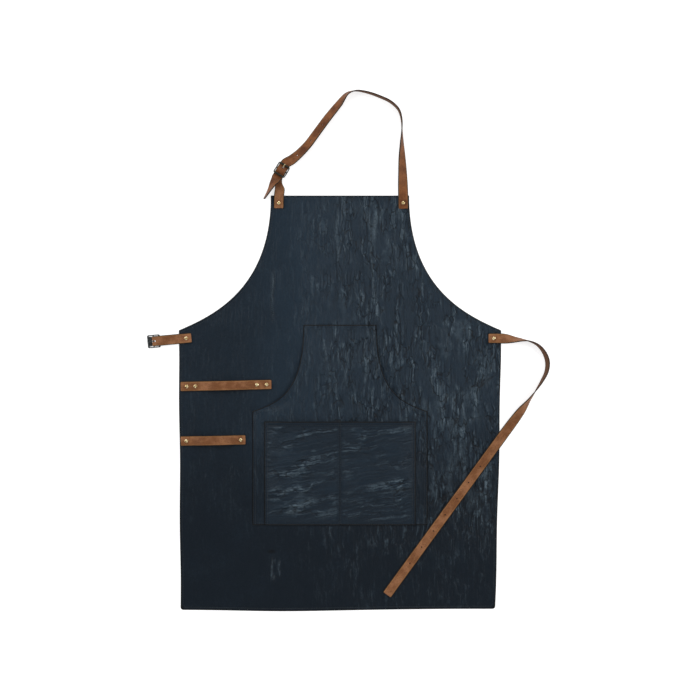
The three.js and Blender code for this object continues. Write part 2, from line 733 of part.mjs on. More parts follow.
function addNeckStrap() {
  const route = neckRoute();
  const length = route.getLength();
  const prongAt = 5.7; // where the prong comes up through the strap, forward of the centre bar
  const target = neckBuckle.place(prongAt, 0, 0);
  let distance = 0;
  for (let s = 0; s < length; s += 0.5) {
    const p = route.getPointAt(s / length);
    const nearest = route.getPointAt(distance / length);
    if (Math.hypot(p.x - target.x, p.y - target.y) < Math.hypot(nearest.x - target.x, nearest.y - target.y)) {
      distance = s;
    }
  }
  const spare = Array.from({ length: NECK_HOLES.count }, (_, i) =>
    route.drill(distance - (i + 1) * NECK_HOLES.pitch, NECK_HOLES.radius),
  );
  const holes = [route.drill(distance, NECK_HOLES.radius, 1.35), ...spare];
  const strip = strapGeometry(route, route.across, 120);
  piece("neck_strap", cut(strip, [drill(RIVET.hole, neckRight.x, neckRight.y), ...holes]), "strap");
  addRivet("neck_right", neckRight.x, neckRight.y);
}

// ---- Assembly ----------------------------------------------------------------------------------------

addPockets();
addWaistStrap();
addNeckStrap();
const loopRivets = [
  ...addTowelLoop("upper_loop", UPPER_LOOP, BIB_POCKET.topHalf),
  ...addTowelLoop("lower_loop", LOWER_LOOP, BIB_POCKET.half),
];
const strapRivets = [rivetLeft, rivetRight, neckLeft, neckRight].map((p) => [p.x, p.y]);
const panelHoles = [...strapRivets, ...loopRivets].map(([x, y]) => drill(RIVET.hole, x, y));
piece("apron_panel", panelGeometry(panelHoles), "leatherette");

const box = new THREE.Box3().setFromObject(apron, true);
apron.position.set(-(box.min.x + box.max.x) / 2, -(box.min.y + box.max.y) / 2, -box.min.z);

export default apron;
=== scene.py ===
"""Looks of a butcher apron that lies flat, front up: a waxed leatherette panel with pockets, towel loops,
a neck strap and a waist strap in tan leather, their buckles, and two-part brass rivets.

Sizes and places are in millimetres in the apron's drawing frame: x = 0 on the centreline, y = 0 on the
bottom edge, z = 0 under the hem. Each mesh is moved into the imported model's frame, in metres, as it is made.
"""

from __future__ import annotations

import logging
import math
from dataclasses import dataclass, field
from enum import Enum
from functools import partial
from typing import Callable

import bpy
import numpy as np
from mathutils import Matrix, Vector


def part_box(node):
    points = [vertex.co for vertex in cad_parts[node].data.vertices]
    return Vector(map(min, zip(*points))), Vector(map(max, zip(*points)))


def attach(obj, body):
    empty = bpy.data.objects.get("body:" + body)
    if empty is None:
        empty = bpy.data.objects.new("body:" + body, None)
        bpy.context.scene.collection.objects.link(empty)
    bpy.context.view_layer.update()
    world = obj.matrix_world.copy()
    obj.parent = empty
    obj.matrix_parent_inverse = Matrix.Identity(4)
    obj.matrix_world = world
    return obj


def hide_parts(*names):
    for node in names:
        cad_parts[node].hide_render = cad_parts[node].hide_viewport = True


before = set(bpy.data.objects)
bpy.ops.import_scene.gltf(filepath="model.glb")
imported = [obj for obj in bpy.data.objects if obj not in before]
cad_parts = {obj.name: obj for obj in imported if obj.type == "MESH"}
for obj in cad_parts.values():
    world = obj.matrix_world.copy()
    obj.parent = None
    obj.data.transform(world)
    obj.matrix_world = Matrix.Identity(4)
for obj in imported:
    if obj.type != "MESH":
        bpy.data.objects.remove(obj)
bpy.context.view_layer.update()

MM = 0.001
UP = np.array([0.0, 0.0, 1.0])
log = logging.getLogger("apron")


# ---- Numbers and curves ------------------------------------------------------------------------------


def smooth(value: np.ndarray | float) -> np.ndarray:
    """Zero below 0, one above 1, and 3t^2 - 2t^3 between them."""
    t = np.clip(value, 0.0, 1.0)
    return t * t * (3.0 - 2.0 * t)


def unit(vectors: np.ndarray) -> np.ndarray:
    """The vectors at length one."""
    return vectors / np.linalg.norm(vectors, axis=-1, keepdims=True)


def bump(value: np.ndarray, centre: float, width: float) -> np.ndarray:
    """A bell of height one: e to the minus ((value - centre) / width) squared."""
    return np.exp(-(((value - centre) / width) ** 2))


def rounded(value: np.ndarray, power: float) -> np.ndarray:
    """Size of the value to a power, with its sign, which turns a circle into a superellipse."""
    return np.sign(value) * np.abs(value) ** power


class Noise:
    """Smooth random values from 0 to 1 over a plane: one number a lattice point, eased between them."""

    SIZE = 64

    def __init__(self, seed: int) -> None:
        """Draws the lattice from a seed."""
        self.lattice = np.random.default_rng(seed).random((self.SIZE, self.SIZE))

    def __call__(self, x: np.ndarray, y: np.ndarray) -> np.ndarray:
        """The value at (x, y), in lattice steps.

        Args:
            x: Places across, in lattice steps.
            y: Places up, in lattice steps.

        Returns:
            Values from 0 to 1.
        """
        column, row = np.floor(x).astype(int), np.floor(y).astype(int)
        fx, fy = smooth(x - column), smooth(y - row)
        columns = [(column + i) % self.SIZE for i in (0, 1)]
        rows = [(row + j) % self.SIZE for j in (0, 1)]
        corners = ([self.lattice[j, i] for i in columns] for j in rows)
        low, high = (left * (1 - fx) + right * fx for left, right in corners)
        return low * (1 - fy) + high * fy

    def octaves(self, x: np.ndarray, y: np.ndarray, count: int) -> np.ndarray:
        """The mean of several layers, each twice as fine and half as strong as the one before.

        Args:
            x: Places across the coarsest layer, in lattice steps.
            y: Places up it.
            count: How many layers.

        Returns:
            Values from 0 to 1.
        """
        total, weight = np.zeros_like(x, dtype=float), 0.0
        for i in range(count):
            total = total + self(x * 2**i + 7.3 * i, y * 2**i + 3.1 * i) / 2**i
            weight += 1 / 2**i
        return total / weight


def catmull_rom(points: np.ndarray, t: np.ndarray, centripetal: bool = True) -> np.ndarray:
    """A Catmull-Rom curve through points.

    Between two points the curve is a Hermite cubic. Its end slopes come from the neighbouring points, by
    the square roots of their distances when centripetal, or half their difference when not.

    Args:
        points: Knots, one row each.
        t: Places from 0 at the first knot to 1 at the last, with equal steps from knot to knot.
        centripetal: Whether the knots' distances shape the slopes.

    Returns:
        The curve's points, one row for each place.
    """
    last = len(points) - 1
    padded = np.vstack([2 * points[0] - points[1], points, 2 * points[-1] - points[-2]])
    i = np.clip(np.floor(last * t).astype(int), 0, last - 1)
    w = (last * t - i)[:, None]
    p0, p1, p2, p3 = (padded[i + k] for k in range(4))
    if centripetal:
        gaps = (np.linalg.norm(b - a, axis=1, keepdims=True) for a, b in ((p0, p1), (p1, p2), (p2, p3)))
        d0, d1, d2 = (np.maximum(gap**0.5, 1e-4) for gap in gaps)
        m1 = d1 * ((p1 - p0) / d0 - (p2 - p0) / (d0 + d1) + (p2 - p1) / d1)
        m2 = d1 * ((p2 - p1) / d1 - (p3 - p1) / (d1 + d2) + (p3 - p2) / d2)
    else:
        m1, m2 = (p2 - p0) / 2, (p3 - p1) / 2
    a = 2 * p1 - 2 * p2 + m1 + m2
    b = -3 * p1 + 3 * p2 - 2 * m1 - m2
    return ((a * w + b) * w + m1) * w + p1


def bezier(knots: np.ndarray, t: np.ndarray) -> np.ndarray:
    """A cubic Bezier curve of four knots at places t.

    Args:
        knots: Its four knots, one row each.
        t: Places from 0 to 1.

    Returns:
        The curve's points, one row for each place.
    """
    s = 1 - t
    weights = np.stack([s**3, 3 * s * s * t, 3 * s * t * t, t**3], axis=1)
    return weights @ knots


def lengths_along(points: np.ndarray) -> np.ndarray:
    """Distance from the first point to each point, along the line through them."""
    steps = np.linalg.norm(np.diff(points, axis=0), axis=1)
    return np.concatenate([[0.0], np.cumsum(steps)])


def resample(points: np.ndarray, places: np.ndarray) -> np.ndarray:
    """Points at given distances along a line of points."""
    along = lengths_along(points)
    return np.stack([np.interp(places, along, column) for column in points.T], axis=1)


# ---- Meshes ------------------------------------------------------------------------------------------


class MeshDraft:
    """Closed surfaces gathered into one mesh, each turned so that its faces point outwards."""

    def __init__(self) -> None:
        """Starts with nothing."""
        self.points: list[np.ndarray] = []
        self.faces: list[list[int]] = []
        self.slots: list[int] = []
        self.places: list[np.ndarray] = []
        self.kinds: list[np.ndarray] = []
        self.count = 0

    def add(
        self,
        points: np.ndarray,
        faces: list[list[int]],
        place: np.ndarray | None = None,
        kind: np.ndarray | None = None,
        slots: list[int] | None = None,
    ) -> None:
        """Adds one closed surface.

        Args:
            points: Vertices in millimetres.
            faces: Vertex numbers of each face.
            place: Two values a vertex for the first map, such as distances along and across.
            kind: Two values a vertex for the second map.
            slots: Material slot of each face.
        """
        if self._volume(points, faces) < 0:
            faces = [face[::-1] for face in faces]
        self.faces += [[i + self.count for i in face] for face in faces]
        self.slots += slots or [0] * len(faces)
        self.points.append(points)
        self.places.append(np.zeros((len(points), 2)) if place is None else place)
        self.kinds.append(np.zeros((len(points), 2)) if kind is None else kind)
        self.count += len(points)

    @staticmethod
    def _volume(points: np.ndarray, faces: list[list[int]]) -> float:
        """Six times the volume: the sum over triangles of a . (b x c).

        Args:
            points: Vertices.
            faces: Vertex numbers of each face.

        Returns:
            Six times the volume, below 0 where the faces point inwards.
        """
        corners = np.array([[f[0], f[i], f[i + 1]] for f in faces for i in range(1, len(f) - 1)])
        a, b, c = (points[corners[:, i]] - points.mean(axis=0) for i in range(3))
        return float(np.einsum("ij,ij->i", a, np.cross(b, c)).sum())

    def build(self, name: str, materials: list[bpy.types.Material]) -> bpy.types.Object:
        """Makes the object, with both maps in metres and smooth faces.

        Args:
            name: Object's name.
            materials: Materials, in the order of the slots.

        Returns:
            The new object, at the origin.
        """
        points = (np.vstack(self.points) + drawing_origin()) * MM
        mesh = bpy.data.meshes.new(name)
        mesh.from_pydata(points.tolist(), [], self.faces)
        corner = np.zeros(len(mesh.loops), dtype=int)
        mesh.loops.foreach_get("vertex_index", corner)
        for title, values in (("place", self.places), ("kind", self.kinds)):
            layer = mesh.uv_layers.new(name=title)
            layer.uv.foreach_set("vector", np.vstack(values)[corner].astype(np.float32).ravel())
        for material in materials:
            mesh.materials.append(material)
        mesh.polygons.foreach_set("material_index", np.array(self.slots, dtype=np.int32))
        mesh.polygons.foreach_set("use_smooth", np.ones(len(mesh.polygons), dtype=bool))
        mesh.update()
        piece = bpy.data.objects.new(name, mesh)
        bpy.context.scene.collection.objects.link(piece)
        return piece


def drawing_origin() -> np.ndarray:
    """Where the drawing frame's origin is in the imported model's frame, in millimetres."""
    low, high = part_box("apron_panel")
    return np.array([(low[0] + high[0]) / 2, low[1], low[2]]) / MM


def grid_faces(rows: int, columns: int, wrap_rows: bool = False, wrap_columns: bool = False) -> np.ndarray:
    """Four vertex numbers for each cell of a grid, which may close on itself either way.

    Args:
        rows: Rows of vertices.
        columns: Vertices in a row.
        wrap_rows: Whether the last row meets the first.
        wrap_columns: Whether the last column meets the first.

    Returns:
        One row for each face.
    """
    r = np.arange(rows if wrap_rows else rows - 1)[:, None]
    c = np.arange(columns if wrap_columns else columns - 1)[None, :]
    r1, c1 = (r + 1) % rows, (c + 1) % columns
    cells = [r * columns + c, r * columns + c1, r1 * columns + c1, r1 * columns + c]
    return np.stack([np.broadcast_to(cell, (r.shape[0], c.shape[1])) for cell in cells], -1).reshape(-1, 4)


def capped_tube(rings: np.ndarray) -> tuple[np.ndarray, list[list[int]]]:
    """A closed surface from rings of points, each end drawn together to a point at its middle.

    Args:
        rings: Points as an array of ring, place round the ring, and coordinate.

    Returns:
        Vertices and faces.
    """
    count, around = rings.shape[:2]
    points = np.vstack([rings.reshape(-1, 3), rings[0].mean(axis=0), rings[-1].mean(axis=0)])
    faces = grid_faces(count, around, wrap_columns=True).tolist()
    first, last, base = count * around, count * around + 1, (count - 1) * around
    for i in range(around):
        j = (i + 1) % around
        faces.append([first, j, i])
        faces.append([last, base + i, base + j])
    return points, faces


def turned(profile: np.ndarray, centre: np.ndarray, segments: int = 40) -> tuple[np.ndarray, list[list[int]]]:
    """A shape turned about an upright axis, from rows of radius and height that run from top to bottom.

    Args:
        profile: Rows of radius and height, from top to bottom.
        centre: Where the axis meets height 0.
        segments: Vertices round the axis.

    Returns:
        Vertices and faces.
    """
    angle = np.linspace(0, 2 * math.pi, segments, endpoint=False)
    circle = np.stack([np.cos(angle), np.sin(angle)], axis=1)
    rings = np.zeros((len(profile), segments, 3))
    rings[:, :, :2] = np.maximum(profile[:, 0], 0.02)[:, None, None] * circle
    rings[:, :, 2] = profile[:, 1][:, None]
    return capped_tube(rings + centre)


def finish_piece(
    piece: bpy.types.Object, body: str, replaces: tuple[str, ...] = ()
) -> bpy.types.Object:
    """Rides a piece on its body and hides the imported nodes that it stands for.

    Args:
        piece: The finished object.
        body: Body that it rides on.
        replaces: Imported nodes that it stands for.

    Returns:
        The same piece.
    """
    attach(piece, body)
    if replaces:
        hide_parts(*replaces)
    log.info("%s: %d faces on %s", piece.name, len(piece.data.polygons), body)
    return piece


# ---- Finishes ----------------------------------------------------------------------------------------


Socket = bpy.types.NodeSocket
AddNode = Callable[..., Socket]
COLOURS = {"data_type": "RGBA"}
EASED = {"interpolation_type": "SMOOTHSTEP"}


def linear(code: str) -> tuple[float, float, float, float]:
    """A colour such as '82502F' from sRGB to linear light, with alpha.

    Args:
        code: Red, green and blue, each as two hexadecimal digits.

    Returns:
        Red, green, blue and alpha.
    """
    values = [int(code[i : i + 2], 16) / 255 for i in (0, 2, 4)]
    light = [v / 12.92 if v <= 0.04045 else ((v + 0.055) / 1.055) ** 2.4 for v in values]
    return (*light, 1.0)


def per_metre(size: float) -> float:
    """How often a pattern of a size in millimetres repeats in a metre."""
    return 1 / (size * MM)


def add_node(
    tree: bpy.types.NodeTree,
    kind: str,
    inputs: dict[str | int, object] | tuple = (),
    output: str | int = 0,
    **settings: object,
) -> Socket:
    """Adds a node with its settings and links.

    Args:
        tree: Material's node tree.
        kind: Node type without the ShaderNode prefix.
        inputs: Value or source socket of each input, in their order or by name or number.
        output: Name or number of the output that is wanted.
        settings: Properties of the node.

    Returns:
        The wanted output.
    """
    node = tree.nodes.new("ShaderNode" + kind)
    for key, value in settings.items():
        setattr(node, key, value)
    for key, value in inputs.items() if isinstance(inputs, dict) else enumerate(inputs):
        if isinstance(value, Socket):
            tree.links.new(value, node.inputs[key])
        else:
            node.inputs[key].default_value = value
    return node.outputs[output]


class Finish:
    """What all finishes share: the step from a finish to a material."""

    name: str

    def surface(self, add: AddNode) -> dict[str, object]:
        """The values and sockets of the Principled surface's inputs."""
        raise NotImplementedError

    def material(self) -> bpy.types.Material:
        """Makes the material, whose tree ends in a Principled surface.

        Returns:
            The new material.
        """
        material = bpy.data.materials.new(self.name)
        material.use_nodes = True
        tree = material.node_tree
        tree.nodes.clear()
        shader = add_node(tree, "BsdfPrincipled", self.surface(partial(add_node, tree)))
        end = tree.nodes.new("ShaderNodeOutputMaterial")
        tree.links.new(shader, end.inputs["Surface"])
        return material


@dataclass(frozen=True)
class Leatherette(Finish):
    """Polyurethane-coated cloth with a waxed, crushed finish: navy drawn near black at its cut edge, in its
    cracks and at its dark marks, partly their own colour and partly painted shade, with blue-grey on the
    crests and streaks of its creases, partly scuffs and partly painted highlight, and a soft, broad sheen.

    The map "place" holds the distance from the edge and the height of the creases, and the map "kind" holds
    how strongly the cloth is creased there and how blue it is drawn there.
    """

    name: str
    crease_turn: float = 90.0  # degrees, the way that creases run, from the x axis
    crease_length: float = 34.0  # mm
    crease_width: float = 5.5
    crease_depth: float = 4.4
    # how strongly the crests and streaks are drawn blue-grey: scuffs and painted highlight
    scuff_and_highlight: float = 1.0
    navy: str = "1A2834"
    deep: str = "0B151E"
    # blue-grey of the scuffs and of the painted highlight on the crests
    worn_and_lit: str = "54636D"
    # near black of the cut edge and the cracks, and of the painted shade along the edge and in the dark marks
    edge_and_shade_black: str = "050608"
    grain: float = 1.8  # mm, the real grain is about 0.6 mm, too fine to show
    wander: float = 38.46  # mm, the distance over which creases change their way
    patch: float = 71.43  # mm, the size of a patch that took the dye alike
    mottle: float = 4.762  # mm, the specks in the coat

    def crushed(self, add: AddNode, spot: Socket) -> tuple[Socket, Socket, Socket]:
        """Patterns of the crushed coat, stretched along the way that the creases run.

        Args:
            add: Adds a node to the tree.
            spot: Place on the object.

        Returns:
            The streaks, the clusters that they come in, and the cracks between them.
        """
        turn = (0, 0, -math.radians(self.crease_turn))
        along = add("Mapping", {"Vector": spot, "Rotation": turn})
        stretch = (per_metre(self.crease_length), per_metre(self.crease_width), 1.0)
        straight = add("Mapping", {"Vector": along, "Scale": stretch})
        wander = add("TexNoise", {"Vector": spot, "Scale": per_metre(self.wander), "Detail": 2.0}, "Color")
        warped = add("VectorMath", (wander, (2.2, 2.2, 2.2), straight), operation="MULTIPLY_ADD")
        streaky = {"Vector": warped, "Scale": 1.0, "Detail": 5.0, "Roughness": 0.6, "Distortion": 0.5}
        streak = add("TexNoise", streaky)
        clusters = add("Mapping", {"Vector": warped, "Scale": (0.42, 0.2, 1.0)})
        cluster = add("TexNoise", {"Vector": clusters, "Scale": 1.0, "Detail": 2.0})
        cracked = add("Mapping", {"Vector": warped, "Scale": (0.9, 0.75, 1.0)})
        cells = add("TexVoronoi", {"Vector": cracked, "Scale": 1.0}, feature="DISTANCE_TO_EDGE")
        thin = add("MapRange", (cells, 0.0, 0.085, 1.0, 0.0), **EASED)
        grouped = add("MapRange", (cluster, 0.34, 0.56), **EASED)
        return streak, cluster, add("Math", (thin, grouped), operation="MULTIPLY")

    def surface(self, add: AddNode) -> dict[str, object]:
        """Tones and streaks, blue-grey scuffs and painted highlight, dark cracks and edge with painted shade,
        one over the other, with the creases as relief.

        Args:
            add: Adds a node to the tree.

        Returns:
            Inputs of the Principled surface.
        """
        spot = add("TexCoord", output="Object")
        place, kind = (add("UVMap", uv_map=title) for title in ("place", "kind"))
        edge, crest = (add("SeparateXYZ", (place,), axis) for axis in (0, 1))
        live, tone = (add("SeparateXYZ", (kind,), axis) for axis in (0, 1))
        streak, cluster, crack = self.crushed(add, spot)
        patch = add("TexNoise", {"Vector": spot, "Scale": per_metre(self.patch), "Detail": 4.0})
        specks = {"Vector": spot, "Scale": per_metre(self.mottle), "Detail": 3.0, "Roughness": 0.7}
        mottle = add("TexNoise", specks)

        # Streaks drawn lighter where the bump raises them and darker between, where the cloth is creased:
        # partly the coat's own streaks and partly painted light and shade.
        streaks_and_light = add("Math", (add("Math", (streak, 0.5), operation="SUBTRACT"), live), operation="MULTIPLY")
        dye_and_light = tone
        for pattern, share in ((patch, 0.5), (mottle, 0.7), (streaks_and_light, 2.6)):
            dye_and_light = add("Math", (pattern, share, dye_and_light), operation="MULTIPLY_ADD")
        middle = 0.5 * (0.5 + 0.7)  # what the patch and the specks add on the whole
        dye_and_light = add("Math", (dye_and_light, middle), operation="SUBTRACT", use_clamp=True)
        base = add("Mix", {0: dye_and_light, 6: linear(self.deep), 7: linear(self.navy)}, 2, **COLOURS)

        # Blue-grey on the streaks and on the crests of the creases: partly scuffs and partly painted
        # highlight.
        scuffs_and_highlight = add("MapRange", (streak, 0.47, 0.7), **EASED)
        scuffs_and_highlight = add("Math", (scuffs_and_highlight, add("MapRange", (cluster, 0.38, 0.64), **EASED)), operation="MULTIPLY")
        crests = add("MapRange", (crest, 0.15, 1.0), **EASED)
        lightened = add("Math", (crests, 0.6, scuffs_and_highlight), operation="MULTIPLY_ADD")
        for part in (live, add("MapRange", (mottle, 0.2, 0.6), **EASED), self.scuff_and_highlight):
            lightened = add("Math", (lightened, part), operation="MULTIPLY")
        lightened = add("Math", (lightened, 0.8), operation="MINIMUM")
        base = add("Mix", {0: lightened, 6: base, 7: linear(self.worn_and_lit)}, 2, **COLOURS)
        # Near black in the cracks, along the edge and in the dark marks: partly their own colour, partly
        # painted shade on the rounded edge, in the cracks, the dimple and the pressed folds.
        cracks_and_shade = add("Math", (add("Math", (crack, live), operation="MULTIPLY"), 0.75), operation="MULTIPLY")
        shaded = add("MapRange", (edge, 0.9 * MM, 2.8 * MM, 1.0, 0.0), **EASED)
        for share in (cracks_and_shade, shaded):
            base = add("Mix", {0: share, 6: base, 7: linear(self.edge_and_shade_black)}, 2, **COLOURS)

        grain = add("TexVoronoi", {"Vector": spot, "Scale": per_metre(self.grain)}, feature="SMOOTH_F1")
        fine = add("Bump", {"Height": grain, "Strength": 0.25, "Distance": 0.25 * MM})
        raised = add("Math", (streak, 1.4), operation="MULTIPLY")
        folds = add("Math", (crack, -0.28, raised), operation="MULTIPLY_ADD")
        strength = add("Math", (live, 0.88, 0.12), operation="MULTIPLY_ADD")
        depth = add("Math", (folds, strength), operation="MULTIPLY")
        relief = {"Height": depth, "Strength": 0.9, "Distance": self.crease_depth * MM, "Normal": fine}
        gloss = add("Math", (streak, -0.14, 0.48), operation="MULTIPLY_ADD")
        surface = {"Base Color": base, "Roughness": gloss, "IOR": 1.46, "Specular IOR Level": 0.19}
        return surface | {"Normal": add("Bump", relief)}


@dataclass(frozen=True)
class StrapLeather(Finish):
    """Vegetable-tanned cowhide, drum-dyed tan brown and waxed: a smooth grain side drawn lighter along its
    borders, partly wear and partly painted highlight, dark burnished edges with painted shadow along the
    strap's sides, and a dull, fuzzy flesh side.

    The map "place" holds the distances along and across the strap, and the map "kind" holds 1 on the grain
    side, 0.5 on the edge and 0 on the flesh side.
    """

    name: str = "tan_cowhide"
    tan: str = "8C5F40"
    red_brown: str = "6E4427"
    worn_and_lit: str = "A27445"
    burnished_and_shadow: str = "23150A"
    flesh: str = "5A3C28"
    border: float = 8.3  # mm from the middle, where the lighter border begins, partly wear and partly painted highlight
    crease_at: float = 9.0  # mm from the middle, the line pressed along each edge
    fibre: tuple[float, float] = (16.667, 2.381)  # mm along and across
    blotch: float = 23.81  # mm
    pit: float = 1.923  # mm
    pore: float = 1.111  # mm, about twice the real size so that it shows

    def surface(self, add: AddNode) -> dict[str, object]:
        """Dye, fibres, pits, the lighter border with its painted highlight and the dark edge band with its
        painted shadow one over the other, then the flesh side.

        Args:
            add: Adds a node to the tree.

        Returns:
            Inputs of the Principled surface.
        """
        spot = add("TexCoord", output="Object")
        place, kind = (add("UVMap", uv_map=title) for title in ("place", "kind"))
        side = add("SeparateXYZ", (kind,))
        across = add("Math", (add("SeparateXYZ", (place,), 1),), operation="ABSOLUTE")
        pull = add("Mapping", {"Vector": place, "Scale": (*map(per_metre, self.fibre), 1.0)})
        fibre = add("TexNoise", {"Vector": pull, "Scale": 1.0, "Detail": 4.0, "Roughness": 0.6})
        blotch = add("TexNoise", {"Vector": spot, "Scale": per_metre(self.blotch), "Detail": 3.0})
        pitted = {"Vector": spot, "Scale": per_metre(self.pit), "Detail": 3.0, "Roughness": 0.7}
        pits = add("TexNoise", pitted)

        uneven = add("Math", (blotch, 1.6 * MM, across), operation="MULTIPLY_ADD")
        off_crease = add("Math", (across, self.crease_at * MM), operation="SUBTRACT")
        off_crease = add("Math", (off_crease,), operation="ABSOLUTE")
        dyed = add("MapRange", (blotch, 0.36, 0.66), **EASED)
        base = add("Mix", {0: dyed, 6: linear(self.red_brown), 7: linear(self.tan)}, 2, **COLOURS)
        layers = (
            ((fibre, 0.48, 0.8, 0.0, 0.4), self.worn_and_lit),
            ((pits, 0.3, 0.5, 0.55, 0.0), self.burnished_and_shadow),
            # The lighter border is partly wear and partly painted highlight on the rounded edge; the dark band
            # from 9 to 10 mm is the burnished edge and painted shadow at the strap's sides.
            ((uneven, self.border * MM, (self.border + 1.6) * MM, 0.0, 0.6), self.worn_and_lit),
            ((across, 9.0 * MM, 10.0 * MM, 0.0, 1.0), self.burnished_and_shadow),
            ((off_crease, 0.1 * MM, 0.5 * MM, 0.35, 0.0), self.burnished_and_shadow),
            ((side, 0.62, 0.9, 1.0, 0.0), self.burnished_and_shadow),
            ((side, 0.1, 0.3, 1.0, 0.0), self.flesh),
        )
        for span, colour in layers:
            share = add("MapRange", span, **EASED)
            base = add("Mix", {0: share, 6: base, 7: linear(colour)}, 2, **COLOURS)

        pores = add("TexVoronoi", {"Vector": place, "Scale": per_metre(self.pore)}, feature="SMOOTH_F1")
        rough = add("Math", (pores, pits), operation="ADD")
        fine = add("Bump", {"Height": rough, "Strength": 0.5, "Distance": 0.25 * MM})
        normal = add("Bump", {"Height": fibre, "Strength": 0.5, "Distance": 0.35 * MM, "Normal": fine})
        gloss = add("Math", (fibre, 0.14, 0.5), operation="MULTIPLY_ADD")
        gloss = add("Math", (share, 0.3, gloss), operation="MULTIPLY_ADD")  # the last share, the flesh side's
        surface = {"Base Color": base, "Roughness": gloss, "IOR": 1.5, "Specular IOR Level": 0.2}
        return surface | {"Normal": normal}


@dataclass(frozen=True)
class Metal(Finish):
    """A plated or solid metal with a patina that stays in its hollows: blotches of a darker colour and fine
    scratches that spread its highlights."""

    name: str
    bright: str
    dark: str
    roughness: float
    blotch: float = 3.0  # mm
    scratch: tuple[float, float, float] = (0.4167, 2.0, 1.111)  # mm

    def surface(self, add: AddNode) -> dict[str, object]:
        """Patina in blotches over bright metal, with scratches as relief.

        Args:
            add: Adds a node to the tree.

        Returns:
            Inputs of the Principled surface.
        """
        spot = add("TexCoord", output="Object")
        patina = add("TexNoise", {"Vector": spot, "Scale": per_metre(self.blotch), "Detail": 4.0})
        lines = add("Mapping", {"Vector": spot, "Scale": tuple(map(per_metre, self.scratch))})
        rub = add("TexNoise", {"Vector": lines, "Scale": 1.0, "Detail": 2.0})
        darkened = add("MapRange", (patina, 0.36, 0.62, 1.0, 0.0), **EASED)
        base = add("Mix", {0: darkened, 6: linear(self.bright), 7: linear(self.dark)}, 2, **COLOURS)
        gloss = add("Math", (patina, 0.14, self.roughness), operation="MULTIPLY_ADD")
        normal = add("Bump", {"Height": rub, "Strength": 0.25, "Distance": 0.05 * MM})
        return {"Base Color": base, "Metallic": 1.0, "Roughness": gloss, "Normal": normal}


@dataclass(frozen=True)
class Thread(Finish):
    """Bonded polyester sewing thread, dyed near black and waxed: twisted plies with a slight gloss."""

    name: str = "bonded_thread"
    colour: str = "0B0F14"
    lit: str = "1C242C"
    ply: float = 1.111  # mm

    def surface(self, add: AddNode) -> dict[str, object]:
        """Plies lighter on their crests.

        Args:
            add: Adds a node to the tree.

        Returns:
            Inputs of the Principled surface.
        """
        spot = add("TexCoord", output="Object")
        ply = add("TexNoise", {"Vector": spot, "Scale": per_metre(self.ply), "Detail": 1.0})
        crest = add("MapRange", (ply, 0.4, 0.7), **EASED)
        base = add("Mix", {0: crest, 6: linear(self.colour), 7: linear(self.lit)}, 2, **COLOURS)
        normal = add("Bump", {"Height": ply, "Strength": 0.4, "Distance": 0.1 * MM})
        return {"Base Color": base, "Roughness": 0.55, "IOR": 1.5, "Normal": normal}


@dataclass(frozen=True)
class BackingCloth(Finish):
    """Knitted polyester that carries the leatherette's coat: matt charcoal, with rows of loops."""

    name: str = "knitted_backing"
    yarn: str = "2C2E33"
    shade: str = "16181B"
    gauge: float = 2.2  # mm between rows, coarser than the real 0.8 mm so that it shows

    def surface(self, add: AddNode) -> dict[str, object]:
        """Loops where the columns and the rows of the knit cross.

        Args:
            add: Adds a node to the tree.

        Returns:
            Inputs of the Principled surface.
        """
        spot = add("TexCoord", output="Object")
        waves = {"Vector": spot, "Scale": per_metre(self.gauge) / 6.28}
        columns = add("TexWave", waves | {"Distortion": 1.2, "Detail Scale": 2.0}, 1)
        rows = add("TexWave", waves, 1, bands_direction="Y")
        loops = add("Math", (columns, rows), operation="MULTIPLY")
        base = add("Mix", {0: loops, 6: linear(self.shade), 7: linear(self.yarn)}, 2, **COLOURS)
        normal = add("Bump", {"Height": loops, "Strength": 0.5, "Distance": 0.3 * MM})
        return {"Base Color": base, "Roughness": 0.95, "Sheen Weight": 0.2, "Normal": normal}


@dataclass(frozen=True)
class StudioPaper(Finish):
    """White seamless paper for the floor, lit a little from behind so that shadows stay pale."""

    name: str = "studio_paper"
    white: str = "CBCBCB"
    glow: float = 0.65

    def surface(self, add: AddNode) -> dict[str, object]:
        """Plain matt white that glows a little."""
        paper = {"Base Color": linear(self.white), "Roughness": 0.95, "Specular IOR Level": 0.1}
        return paper | {"Emission Color": (1.0, 1.0, 1.0, 1.0), "Emission Strength": self.glow}


# ---- Sizes shared by the pieces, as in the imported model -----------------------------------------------

GAP = 0.3
PANEL_TOP = 2.0
ON_PANEL = PANEL_TOP + GAP
WAIST_Y = 607.0
RIVET_LEFT = np.array([-334.3, 590.0])
RIVET_RIGHT = np.array([334.3, 590.0])
NECK_LEFT = np.array([-132.9, 884.0])
NECK_RIGHT = np.array([137.5, 884.0])
EDGE_ROW = 1.9  # the outer stitch row's distance from a pocket's edge


class Body(Enum):
    """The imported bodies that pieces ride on."""

    APRON = "apron"
    WAIST_STRAP = "waist_strap"
    WAIST_BUCKLE_STRAP = "waist_buckle_strap"
    WAIST_FRAME = "waist_buckle_frame"
    WAIST_PRONG = "waist_buckle_prong"
    NECK_FRAME = "neck_buckle_frame"
    NECK_PRONG = "neck_buckle_prong"


class Slot(Enum):
    """Names of the material slots."""

    LEATHERETTE = "leatherette"
    STRAP = "strap_leather"
    BRASS = "brass"
    GUNMETAL = "gunmetal"


# ---- Cloth -------------------------------------------------------------------------------------------


